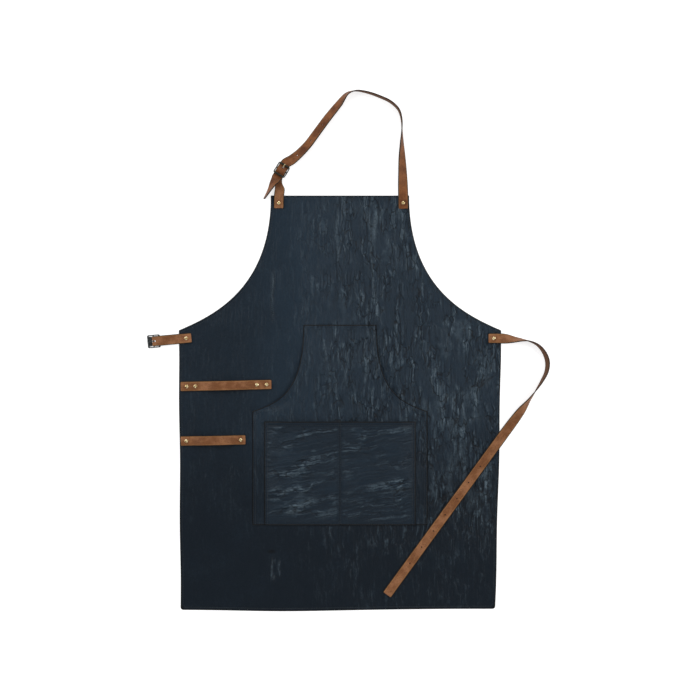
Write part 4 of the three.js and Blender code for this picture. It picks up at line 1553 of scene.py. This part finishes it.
class Line:
    """A strap's middle line as many points, with the direction of its width at each."""

    def __init__(self, points: np.ndarray, side: np.ndarray) -> None:
        """Keeps the points, the widths and the distances along them.

        Args:
            points: Middle of the strap, one row each.
            side: Direction of its width at each.
        """
        self.points, self.side = points, side
        self.along = lengths_along(points)
        self.length = float(self.along[-1])

    def at(self, places: np.ndarray) -> tuple[np.ndarray, np.ndarray]:
        """Middle of the strap and direction of its width at given distances.

        Args:
            places: Distances along the strap.

        Returns:
            The middles and the directions.
        """
        centre = resample(self.points, places)
        side = np.stack([np.interp(places, self.along, column) for column in self.side.T], axis=1)
        return centre, unit(side)

    def punch(self, place: float, radius: float, stretch: float = 1.0) -> Punch:
        """A round hole at a distance along the strap.

        Args:
            place: Distance along the strap.
            radius: Half its width across the strap.
            stretch: Its length along the strap over its width.

        Returns:
            The hole.
        """
        near = np.array([place - 0.5, place, place + 0.5])
        centre, side = self.at(near)
        ahead = unit(centre[2] - centre[0])
        return Punch(centre[1], ahead, side[1], unit(np.cross(ahead, side[1])), radius * stretch, radius)


class Route(Line):
    """The middle line of a loose strap, from rows of x, y, lean in degrees and height of what it lies on.

    A strap lies face up at a lean of 0 and stands on edge at 90. Its middle is above the ground by half its
    width times the sine of the lean plus half its thickness times the cosine.
    """

    def __init__(self, rows: list[tuple[float, float, float, float]], outer: int) -> None:
        """Works the line out from its rows.

        Args:
            rows: Place x, y, lean and ground of each knot.
            outer: 1 where the face turns to the right of the way it runs, -1 to the left.
        """
        table = np.array(rows, dtype=float)
        t = np.linspace(0, 1, 2400)
        ground = catmull_rom(table[:, [0, 1, 3]], t)
        leans = np.radians(table[:, [2]]) * np.ones((1, 3))
        lean = catmull_rom(leans, t, centripetal=False)[:, 0]
        half = (SECTION.width * np.abs(np.sin(lean)) + SECTION.thickness * np.abs(np.cos(lean))) / 2
        points = np.stack([ground[:, 0], ground[:, 1], np.maximum(ground[:, 2], 0) + GAP + half], axis=1)
        tangent = unit(np.gradient(points, axis=0))
        right = unit(np.cross(tangent, UP))
        above = np.cross(right, tangent)
        side = -np.cos(lean)[:, None] * right + outer * np.sin(lean)[:, None] * above
        super().__init__(points, side)


@dataclass
class Strap:
    """A strap of tan leather along a line: what all of the apron's straps share."""

    name: str
    line: Line
    leather: bpy.types.Material
    pitch: float = 2.0
    punches: list[Punch] = field(default_factory=list)
    thickness: Callable[[np.ndarray], np.ndarray] | None = None

    def build(self, body: Body) -> bpy.types.Object:
        """Makes the strap and punches its holes.

        Args:
            body: Body that it rides on.

        Returns:
            The finished piece.
        """
        places = SECTION.stations(self.line.length, self.pitch)
        centre, side = self.line.at(places)
        thick = self.thickness(places) if self.thickness else np.full(len(places), SECTION.thickness)
        piece = SECTION.sweep(places, centre, side, thick).build(self.name + "_leather", [self.leather])
        if self.punches:
            punch_out(piece, self.punches, self.leather)
        finish_piece(piece, body.value, (self.name,))
        return piece


# ---- Rivets ------------------------------------------------------------------------------------------


@dataclass(frozen=True)
class Rivet:
    """A two-part rivet: a domed cap on the strap, a shank, and a flat back cap under the panel."""

    name: str
    x: float
    y: float
    cap_radius: float = 4.15
    cap_base: float = 4.72
    cap_top: float = 7.0
    back_radius: float = 3.8
    back_top: float = 0.75
    back_base: float = 0.05
    shank: float = 1.5

    def build(self, brass: bpy.types.Material) -> None:
        """Turns the cap, a flattened dome with a rolled rim, and the back with its shank.

        Args:
            brass: Material of both parts.
        """
        r = np.linspace(0, 1, 15)
        dome = self.cap_base + 0.35 + (self.cap_top - self.cap_base - 0.35) * (1 - r**3.4) ** 0.55
        base, low, wide = self.cap_base, self.back_base, self.back_radius
        rim = np.array([[0.985, base + 0.1], [0.93, base], [0.4, base], [0.0, base]])
        cap = np.vstack([np.stack([r * self.cap_radius, dome], axis=1), rim * [self.cap_radius, 1]])
        shank = [[0, base + 0.3], [self.shank, base + 0.3], [self.shank, self.back_top]]
        side = [[0.92 * wide, self.back_top], [wide, self.back_top - 0.15], [wide, low + 0.25]]
        back = np.array([*shank, *side, [0.9 * wide, low + 0.05], [0.5 * wide, low], [0, low]])
        centre = np.array([self.x, self.y, 0.0])
        for part, profile in (("cap", cap), ("post", back)):
            draft = MeshDraft()
            draft.add(*turned(profile, centre))
            node = f"rivet_{part}_{self.name}"
            piece = draft.build(f"brass_{part}_{self.name}", [brass])
            finish_piece(piece, Body.APRON.value, (node,))


# ---- Towel loops -------------------------------------------------------------------------------------


@dataclass(frozen=True)
class TowelLoop:
    """A strip riveted flat at both ends and arched between them, tilted about its middle."""

    name: str
    y: float
    tilt: float
    right: float
    near: tuple[float, ...]
    far: tuple[float, ...]
    left: float = -346.4
    rise: float = 7.0
    flat: float = 8.15  # from the last rivet to where the arch begins

    def build(self, leather: bpy.types.Material, brass: bpy.types.Material) -> None:
        """Makes the strip along its arch, then its rivets.

        Args:
            leather: Material of the strip.
            brass: Material of the rivets.
        """
        slope = math.tan(math.radians(self.tilt))
        middle = (self.left + self.right) / 2
        length = self.right - self.left
        s = np.linspace(0, length, 400)
        start, stop = max(self.near) + self.flat, max(self.far) + self.flat
        share = np.clip((s - start) / (length - start - stop), 0, 1)
        lift = self.rise * smooth(np.minimum(1, 3 * np.minimum(share, 1 - share)))
        x = self.left + s
        z = ON_PANEL - 0.2 + SECTION.thickness / 2 + lift
        points = np.stack([x, self.y + slope * (x - middle), z], axis=1)
        side = unit(np.array([-slope, 1.0, 0.0]))
        line = Line(points, np.broadcast_to(side, points.shape))
        Strap(self.name, line, leather).build(Body.APRON)
        rivets = [self.left + d for d in self.near] + [self.right - d for d in reversed(self.far)]
        for i, place in enumerate(rivets):
            Rivet(f"{self.name}_{i + 1}", place, self.y + slope * (place - middle)).build(brass)


# ---- Buckles -----------------------------------------------------------------------------------------


@dataclass(frozen=True)
class Buckle:
    """A centre-bar buckle: an arched frame, its bar, and a prong that turns on the bar."""

    name: str
    centre: tuple[float, float, float]
    heading: float  # radians, the way that its front points, clockwise from +y
    flip: int  # -1 where the end bars are below the centre bar
    prong_rows: tuple[tuple[float, float], ...]
    length: float = 28.0
    bar_width: float = 4.0
    rail_width: float = 2.3
    clearance: float = 0.9
    thickness: float = 2.6
    arch: float = 4.4
    bar_radius: float = 1.3
    corner: float = 5.0
    prong_width: float = 2.2
    prong_thickness: float = 1.4
    eye_inner: float = 1.65
    eye_outer: float = 2.65
    sleeve: float = 0.0  # how much wider the front bar is towards the strap

    def basis(self) -> np.ndarray:
        """Directions to its right, forward and up, as rows."""
        h = self.heading
        return np.array([[math.cos(h), -math.sin(h), 0], [math.sin(h), math.cos(h), 0], [0, 0, 1.0]])

    def placed(self, local: np.ndarray) -> np.ndarray:
        """Points given as right, forward and up of the centre bar, in the drawing frame."""
        return local @ self.basis() + np.array(self.centre)

    def at(self, forward: float, up: float) -> np.ndarray:
        """A point on its middle line."""
        return self.placed(np.array([0.0, forward, up]))

    def ring(self) -> np.ndarray:
        """The frame's bars: a superellipse carried round a rounded rectangle that bends out of its plane.

        The bars widen from the rails to the ends, and their height off the centre bar's plane grows with the
        square of the distance from it.

        Returns:
            Points as an array of place round the frame, place round the bar, and coordinate.
        """
        half_w = (SECTION.width + self.rail_width) / 2 + self.clearance
        half_l = (self.length - self.bar_width) / 2
        r = self.corner - self.rail_width / 2
        path = [[half_w, 0.0]]
        for q, (right, front) in enumerate(((1, 1), (-1, 1), (-1, -1), (1, -1))):
            turn = np.linspace(0, math.pi / 2, 14) + q * math.pi / 2
            middle = [right * (half_w - r), front * (half_l - r)]
            path += (np.array(middle) + r * np.stack([np.cos(turn), np.sin(turn)], axis=1)).tolist()
        path = np.array([*path, [half_w, 0.0]])
        places = np.linspace(0, lengths_along(path)[-1], 132, endpoint=False)
        p = resample(path, places)
        along = unit(np.roll(p, -1, axis=0) - np.roll(p, 1, axis=0))
        wide = smooth((np.abs(p[:, 1]) - half_l + r) / r)
        inwards = self.sleeve / 2 * smooth(half_w - r - np.abs(p[:, 0])) * (p[:, 1] > 0)
        thick = (self.rail_width * (1 - wide) + self.bar_width * wide) / 2 + inwards
        angle = np.linspace(0, 2 * math.pi, 18, endpoint=False)
        out = rounded(np.cos(angle), 0.72)[None, :] * thick[:, None] - inwards[:, None]
        bow = self.flip * self.arch * (p[:, 1] / half_l) ** 2
        up = rounded(np.sin(angle), 0.72)[None, :] * self.thickness / 2 + bow[:, None]
        x = p[:, 0, None] + along[:, 1, None] * out
        y = p[:, 1, None] - along[:, 0, None] * out
        return np.stack([x, y, up], axis=-1)

    def build_frame(self, body: Body, metal: bpy.types.Material) -> None:
        """Makes the frame and its centre bar as one piece.

        Args:
            body: Body that it rides on.
            metal: Material of the casting.
        """
        ring = self.ring()
        draft = MeshDraft()
        faces = grid_faces(*ring.shape[:2], wrap_rows=True, wrap_columns=True).tolist()
        draft.add(self.placed(ring.reshape(-1, 3)), faces)
        half_w = (SECTION.width + self.rail_width) / 2 + self.clearance
        angle = np.linspace(0, 2 * math.pi, 20, endpoint=False)
        circle = self.bar_radius * np.stack([np.zeros(20), np.cos(angle), np.sin(angle)], axis=1)
        x = np.linspace(-half_w, half_w, 9)
        rings = circle[None] + x[:, None, None] * np.array([1.0, 0, 0])
        points, faces = capped_tube(rings)
        draft.add(self.placed(points), faces)
        node = self.name + "_buckle_frame"
        finish_piece(draft.build(node + "_cast", [metal]), body.value, (node,))

    def build_prong(self, body: Body, metal: bpy.types.Material) -> None:
        """Makes the prong: an eye round the bar, and a shank of rounded section that thins to its tip.

        Args:
            body: Body that it rides on.
            metal: Material of the prong.
        """
        rows = np.array([[0.0, f, u] for f, u in self.prong_rows])
        line = catmull_rom(rows, np.linspace(0, 1, 200))
        length = lengths_along(line)[-1]
        point = length - 1 + np.array([0.35, 0.6, 0.8, 0.93, 1.0])
        places = np.concatenate([np.linspace(0, length - 1, 30), point])
        middle = resample(line, places)
        tangent = unit(np.gradient(middle, axis=0))
        face = np.stack([np.zeros(len(places)), -tangent[:, 2], tangent[:, 1]], axis=1)
        share = places / length
        blunt = np.sqrt(np.clip((length - places + 0.05) / 0.9, 0, 1))
        tip = ((1 - 0.35 * smooth((share - 0.7) / 0.3)) * blunt)[:, None, None]
        angle = np.linspace(0, 2 * math.pi, 16, endpoint=False)
        wide, high = rounded(np.cos(angle), 0.8), rounded(np.sin(angle), 0.8)
        half_width, half_thickness = self.prong_width / 2, self.prong_thickness / 2
        across = wide[None, :, None] * (half_width * tip) * np.array([1.0, 0, 0])
        up = high[None, :, None] * (half_thickness * tip) * face[:, None]
        points, faces = capped_tube(middle[:, None] + across + up)
        draft = MeshDraft()
        draft.add(self.placed(points), faces)
        turn = np.linspace(0, 2 * math.pi, 28, endpoint=False)
        half_wall = (self.eye_outer - self.eye_inner) / 2
        radius = self.eye_inner + half_wall + half_wall * wide
        right = np.broadcast_to(half_width * high, (len(turn), len(angle)))
        eye = np.stack([right, np.cos(turn)[:, None] * radius, np.sin(turn)[:, None] * radius], axis=-1)
        draft.add(self.placed(eye.reshape(-1, 3)), grid_faces(len(turn), len(angle), True, True).tolist())
        node = self.name + "_buckle_prong"
        finish_piece(draft.build(node + "_cast", [metal]), body.value, (node,))

    def prong_slot(self) -> Punch:
        """The slot in the strap's fold that the prong's eye stands in."""
        right, forward, up = self.basis()
        return Punch(np.array(self.centre), forward, right, up, 4.8, 1.7, sides=4, depth=9.6)


@dataclass(frozen=True)
class BuckleStrap:
    """A short strap with a riveted tab, a run up to its buckle, a fold round the centre bar, and a leg."""

    name: str
    buckle: Buckle
    rivet: tuple[float, float]
    tab_end: tuple[float, float]
    run_rows: tuple[tuple[float, float], ...]
    leg_rows: tuple[tuple[float, float], ...]
    fold_clearance: float = 0.45
    fold_thickness: float = 1.5
    leg: float = 17.0

    def line(self) -> Line:
        """The strap's middle line: flat on the panel, then bent to the buckle's own line, round and back.

        Returns:
            The line, from the tab to the end of the leg.
        """
        b = self.buckle
        centre = np.array(b.centre)
        radius = b.bar_radius + self.fold_clearance + self.fold_thickness / 2
        flat = ON_PANEL + SECTION.thickness / 2
        rivet = np.array([*self.rivet, flat])
        tab_end = np.array([*self.tab_end, flat])
        run = unit(rivet - tab_end)
        to_rivet = unit((rivet - centre) * [1, 1, 0])
        points = [tab_end, rivet, rivet + 8 * run, rivet + 16 * run]
        for behind, up in self.run_rows:
            share = smooth((behind - 12) / 30)
            p = b.at(-behind, 0) * (1 - share) + (centre + behind * to_rivet) * share
            points.append(np.array([p[0], p[1], centre[2] + up]))
        for angle in np.radians([90, 45, 0, -45, -90]):
            points.append(b.at(radius * math.cos(angle), radius * math.sin(angle)))
        points += [b.at(-behind, up) for behind, up in self.leg_rows]
        curve = catmull_rom(np.array(points), np.linspace(0, 1, 3000))
        along = lengths_along(curve)
        fold_start = along[-1] - self.leg - 3 * radius
        turn = smooth((along - 20) / (fold_start - 35))[:, None]
        tab_side = np.array([run[1], -run[0], 0])
        side = -unit(tab_side * (1 - turn) + b.basis()[0] * turn)
        return Line(curve, side)

    def skived(self, fold_start: float, places: np.ndarray) -> np.ndarray:
        """Thickness of the strap: full, then thinned over 12 mm before the fold."""
        thinner = self.fold_thickness - SECTION.thickness
        return SECTION.thickness + thinner * smooth((places - fold_start + 26) / 12)

    def build(self, body: Body, leather: bpy.types.Material) -> None:
        """Makes the strap, skived thin where it folds, with the prong's slot cut through the fold.

        Args:
            body: Body that it rides on.
            leather: Material of the strap.
        """
        line = self.line()
        radius = self.buckle.bar_radius + self.fold_clearance + self.fold_thickness / 2
        fold_start = line.length - self.leg - 3 * radius
        strap = Strap(self.name, line, leather, pitch=0.9, punches=[self.buckle.prong_slot()])
        strap.thickness = partial(self.skived, fold_start)
        strap.build(body)


# ---- The two long straps -----------------------------------------------------------------------------


@dataclass(frozen=True)
class WaistStrap:
    """The long strap: from its tab round a loose bend on edge, and down again across the panel."""

    holes: int = 7
    hole_pitch: float = 43.4
    first_hole: float = 84.6
    hole_radius: float = 1.5
    tail: float = 187.0
    pocket_corner: tuple[float, float] = (212.0, 184.0)  # where the run passes the bib pocket

    def route(self) -> Route:
        """The bend's rows from the rivet, then a straight run past the pocket's corner.

        Returns:
            The line, from the tab to the tip.
        """
        x0, y0 = RIVET_RIGHT
        bend_end = np.array([x0 + 83, y0 - 124])
        run = np.array(self.pocket_corner) - bend_end
        past = float(np.linalg.norm(run))
        run = run / past
        tail = past + self.tail
        bend = [
            (-11.5, 0, 0, PANEL_TOP),
            (0, 0, 0, PANEL_TOP),
            (12, -0.3, 0, PANEL_TOP),
            (20, -0.7, 6, PANEL_TOP),
            (41, -2.8, 50, 0.6),
            (60, -3.7, 76, 0),
            (76, -6.2, 90, 0),
            (94.8, -15, 97, 0),
            (108.3, -30.7, 104, 0),
            (115.5, -50.5, 107, 0),
            (113.6, -72, 103, 0),
            (103.6, -92.8, 97, 0),
            (91, -112.5, 86, 0),
        ]
        rows = [(x0 + x, y0 + y, lean, ground) for x, y, lean, ground in bend]
        onto = ((14, 68, 0), (42, 32, PANEL_TOP), (82, 8, PANEL_TOP), (122, 0, PANEL_TOP))
        for distance, lean, ground in onto:
            rows.append((*(bend_end + distance * run), lean, ground))
        for share in (0.35, 0.55, 0.78, 1):
            rows.append((*(bend_end + tail * share * run), 0, PANEL_TOP))
        return Route(rows, -1)

    def build(self, leather: bpy.types.Material) -> None:
        """Makes the strap with its row of holes.

        Args:
            leather: Material of the strap.
        """
        line = self.route()
        punches = [
            line.punch(line.length - self.first_hole - i * self.hole_pitch, self.hole_radius)
            for i in range(self.holes)
        ]
        Strap("waist_strap", line, leather, punches=punches).build(Body.WAIST_STRAP)


@dataclass(frozen=True)
class NeckStrap:
    """The neck strap: from its tab round the top of the loop on edge, through the buckle, and its tail."""

    buckle: Buckle
    hole_pitch: float = 43.0
    spare_holes: int = 3
    hole_radius: float = 2.0
    spare_radius: float = 1.3
    under_bar: float = 0.3
    beside_bar: float = 0.5
    over_fold: float = 4.95
    prong_at: float = 5.7

    def route(self) -> Route:
        """The loop's rows from the right rivet, then rows through the buckle and the tail's.

        Returns:
            The line, from the tab to the tip.
        """
        x0, y0 = NECK_RIGHT
        loop = [
            (0.3, -12.5, 0, PANEL_TOP),
            (0, 0, 0, PANEL_TOP),
            (-0.1, 12, 0, PANEL_TOP),
            (-0.5, 25, 6, PANEL_TOP),
            (-1.5, 62, 28, 0),
            (-2.8, 98, 48, 0),
            (-3.2, 130, 70, 0),
            (-3, 156, 86, 0),
            (-3.8, 180, 92, 0),
            (-10, 201, 94, 0),
            (-27, 218, 94, 0),
            (-53, 230.5, 93, 0),
            (-80, 239.5, 90, 0),
            (-103, 242.6, 84, 0),
            (-121, 237, 70, 0),
        ]
        rows = [(x0 + x, y0 + y, lean, ground) for x, y, lean, ground in loop]
        bx, by, _ = self.buckle.centre
        near = [(124.5, 143, 46), (102, 115.4, 38), (79, 84.6, 36), (57, 55, 33), (36, 33.5, 24)]
        rows += [(bx + x, by + y, lean, 0) for x, y, lean in [*near, (22, 22.5, 9)]]
        slope = [self.under_bar + 0.5, self.under_bar, self.beside_bar, 0.62 * self.over_fold]
        heights = [*slope, self.over_fold, *slope[::-1], 3.4]
        for forward, above in zip((17, 12, 9, 5, 0, -5, -9, -12, -17, -22), heights):
            p = self.buckle.at(forward, above - GAP - SECTION.thickness / 2)
            rows.append((p[0], p[1], 16 if forward == -22 else 0, p[2]))
        tail = [(-16.5, -26, 38, 1.2), (-24, -40, 62, 0), (-32, -54, 74, 0), (-38, -63.5, 80, 0)]
        rows += [(bx + x, by + y, lean, ground) for x, y, lean, ground in tail]
        return Route(rows, 1)

    def build(self, leather: bpy.types.Material) -> None:
        """Makes the strap with the oval hole that the prong is through and the spare holes before it.

        Args:
            leather: Material of the strap.
        """
        line = self.route()
        target = self.buckle.at(self.prong_at, 0)[:2]
        place = float(line.along[np.argmin(np.linalg.norm(line.points[:, :2] - target, axis=1))])
        punches = [line.punch(place, self.hole_radius, 1.35)]
        for i in range(self.spare_holes):
            punches.append(line.punch(place - (i + 1) * self.hole_pitch, self.spare_radius))
        Strap("neck_strap", line, leather, pitch=1.6, punches=punches).build(Body.APRON)


# ---- Studio ------------------------------------------------------------------------------------------


@dataclass(frozen=True)
class Studio:
    """White paper, softboxes on four sides, a light above, and a camera that looks straight down."""

    view_width: float = 1.5225  # metres of floor from side to side
    view_x: float = 0.00418
    height: float = 3.4
    floor: float = 20.0  # metres from the middle to the paper's edge
    sky: float = 0.28
    softbox: float = 1.6  # metres a side
    side: float = 31.0  # watts
    overhead: float = 5.5

    def build(self) -> None:
        """Sets up the floor, the lights, the camera and plain colour handling."""
        scene = bpy.context.scene
        mesh = bpy.data.meshes.new("studio_floor")
        r = self.floor
        mesh.from_pydata([(-r, -r, 0), (r, -r, 0), (r, r, 0), (-r, r, 0)], [], [(0, 1, 2, 3)])
        mesh.materials.append(StudioPaper().material())
        floor = bpy.data.objects.new("studio_floor", mesh)
        scene.collection.objects.link(floor)
        world = bpy.data.worlds.new("studio_light")
        world.use_nodes = True
        world.node_tree.nodes["Background"].inputs["Color"].default_value = (0.97, 0.985, 1.0, 1.0)
        world.node_tree.nodes["Background"].inputs["Strength"].default_value = self.sky
        scene.world = world
        self.lamp("left_softbox", (-2.1, 0.7, 1.5), self.softbox, self.side)
        self.lamp("right_softbox", (2.1, 0.3, 1.5), self.softbox, self.side)
        self.lamp("top_softbox", (0.0, 2.2, 1.6), self.softbox, 0.8 * self.side)
        self.lamp("bottom_softbox", (0.0, -2.2, 1.6), self.softbox, 0.45 * self.side)
        self.lamp("overhead_light", (0.0, 0.0, 3.9), 1.3, self.overhead)
        camera = bpy.data.cameras.new("camera")
        camera.sensor_width = 36.0
        camera.lens = camera.sensor_width * self.height / self.view_width
        eye = bpy.data.objects.new("camera", camera)
        eye.location = (self.view_x, 0.0, self.height)
        scene.collection.objects.link(eye)
        scene.camera = eye
        scene.view_settings.view_transform = "Standard"

    def lamp(self, name: str, place: tuple[float, float, float], size: float, power: float) -> None:
        """Adds a square soft light that faces the middle of the apron.

        Args:
            name: Name of the light.
            place: Where it is, in metres.
            size: Length of its side in metres.
            power: Watts.
        """
        light = bpy.data.lights.new(name, "AREA")
        light.size, light.energy = size, power
        lamp = bpy.data.objects.new(name, light)
        away = np.array(place) / np.linalg.norm(place)
        lamp.location = place
        lamp.rotation_euler = (math.acos(away[2]), 0, math.atan2(away[0], -away[1]))
        bpy.context.scene.collection.objects.link(lamp)


# ---- Assembly ----------------------------------------------------------------------------------------


class Apron:
    """The whole apron: its finishes, and its pieces in the order that they are made."""

    def __init__(self) -> None:
        """Makes the materials that its pieces share."""
        # A darker copy of the strap leather for the neck strap: painted shade.
        shaded = StrapLeather("tan_cowhide_shaded_copy", "7A4A28", "552E15", "8F6238")
        self.leather, self.shaded = StrapLeather().material(), shaded.material()
        self.thread, self.backing = Thread().material(), BackingCloth().material()
        self.brass = Metal("antique_brass", "F0DFB4", "B4955A", 0.2).material()
        self.gunmetal = Metal("gunmetal_plate", "515454", "242526", 0.38, 3.0).material()
        # A darker, olive copy of the buckle metal for the neck frame: painted shade.
        self.shaded_gunmetal = Metal("shaded_gunmetal_copy", "45463F", "22231F", 0.3, 1.3).material()
        self.pale_brass = Metal("pale_brass", "E2D2AC", "A89468", 0.3).material()

    def sew_cloth(self) -> None:
        stitch = Stitch()
        panel = Panel("apron_panel", 0.0, 900.0, Leatherette("waxed_leatherette"), Creases())
        bib_finish = Leatherette("waxed_leatherette_bib_pocket")
        lower_finish = Leatherette("waxed_leatherette_lower_pocket", 9.0, 56.0, 6.5, 6.0, scuff_and_highlight=1.6)
        foot, pocket_seam = 184.0, 6.5
        bib_creases = Creases(seed=21, width=11)
        bib = BibPocket("bib_pocket", foot, 619.0, bib_finish, bib_creases, 0.5, pitch=3.0, seam=pocket_seam)
        lower_creases = Creases(turn=14, length=42, width=10, seed=40, patch=60)
        lower = LowerPocket(
            "lower_pocket", foot, 409.0, lower_finish, lower_creases, 0.85, pitch=2.6, seam=pocket_seam,
            behind=bib,
        )
        sizes = ((panel, (0.716, 0.916), 0.566), (bib, (0.396, 0.451), 0.145), (lower, (0.344, 0.241), 0.081))
        for sheet, flat, area in sizes:
            piece = sheet.build(Body.APRON, self.backing)
            sheet.sew(Body.APRON, self.thread, stitch)

    def add_loops(self) -> None:
        """Makes the two towel loops."""
        upper = TowelLoop("upper_loop", 487.4, 1.3, -149.0, (13.6, 32.3), (10.4, 31.3))
        lower = TowelLoop("lower_loop", 368.0, 1.1, -205.3, (12.6,), (10.5,))
        for loop in (upper, lower):
            loop.build(self.leather, self.brass)

    def add_waist(self) -> None:
        """Makes the waist buckle, its strap and the long waist strap."""
        droop = math.radians(5.4)
        ahead = np.array([-math.cos(droop), -math.sin(droop)])
        centre = RIVET_LEFT + 70.6 * ahead
        prong = ((2, 0), (6, -0.3), (10, -1.5), (14.2, -2))
        buckle = Buckle("waist", (*centre, 6.0), math.atan2(*ahead), -1, prong, corner=3.2, sleeve=6.2)
        buckle.build_frame(Body.WAIST_FRAME, self.gunmetal)
        buckle.build_prong(Body.WAIST_PRONG, self.gunmetal)
        tab_end = tuple(RIVET_LEFT - 11.5 * ahead)
        run = ((28, 0.6), (12, 1.9), (5, 2.4))
        leg = ((5, -1.8), (9, -0.9), (17, -0.6))
        strap = BuckleStrap("waist_buckle_strap", buckle, tuple(RIVET_LEFT), tab_end, run, leg)
        strap.build(Body.WAIST_BUCKLE_STRAP, self.leather)
        WaistStrap().build(self.leather)

    def add_neck(self) -> None:
        """Makes the neck buckle, its strap and the neck strap."""
        centre = NECK_LEFT + [6.3, 71.4]
        prong = ((2, 0.6), (4, 1.5), (6.5, 3.6), (9.6, 6.1), (12.6, 6.8), (14.8, 6.7))
        buckle = Buckle("neck", (*centre, 5.4), math.radians(32), 1, prong)
        buckle.build_frame(Body.NECK_FRAME, self.shaded_gunmetal)
        buckle.build_prong(Body.NECK_PRONG, self.pale_brass)
        tab_end = tuple(NECK_LEFT + [-0.3, -11.5])
        run = ((38, -1.7), (27, -1.9), (17, -2.1), (12, -2), (6, -0.6), (3, 1.3))
        leg = ((5, -2.7), (10, -3.7), (17, -3.9))
        strap = BuckleStrap("neck_buckle_strap", buckle, tuple(NECK_LEFT), tab_end, run, leg)
        strap.build(Body.APRON, self.leather)
        NeckStrap(buckle).build(self.shaded)

    def add_rivets(self) -> None:
        """Makes the rivets of the four strap tabs."""
        waist = {"waist_left": RIVET_LEFT, "waist_right": RIVET_RIGHT}
        neck = {"neck_left": NECK_LEFT, "neck_right": NECK_RIGHT}
        for name, (x, y) in (waist | neck).items():
            Rivet(name, x, y).build(self.brass)


def main() -> None:
    """Builds the studio and the apron."""
    logging.basicConfig(level=logging.INFO, format="%(name)s: %(message)s")
    Studio().build()
    apron = Apron()
    apron.sew_cloth()
    apron.add_loops()
    apron.add_waist()
    apron.add_neck()
    apron.add_rivets()


if __name__ == "__main__":
    main()
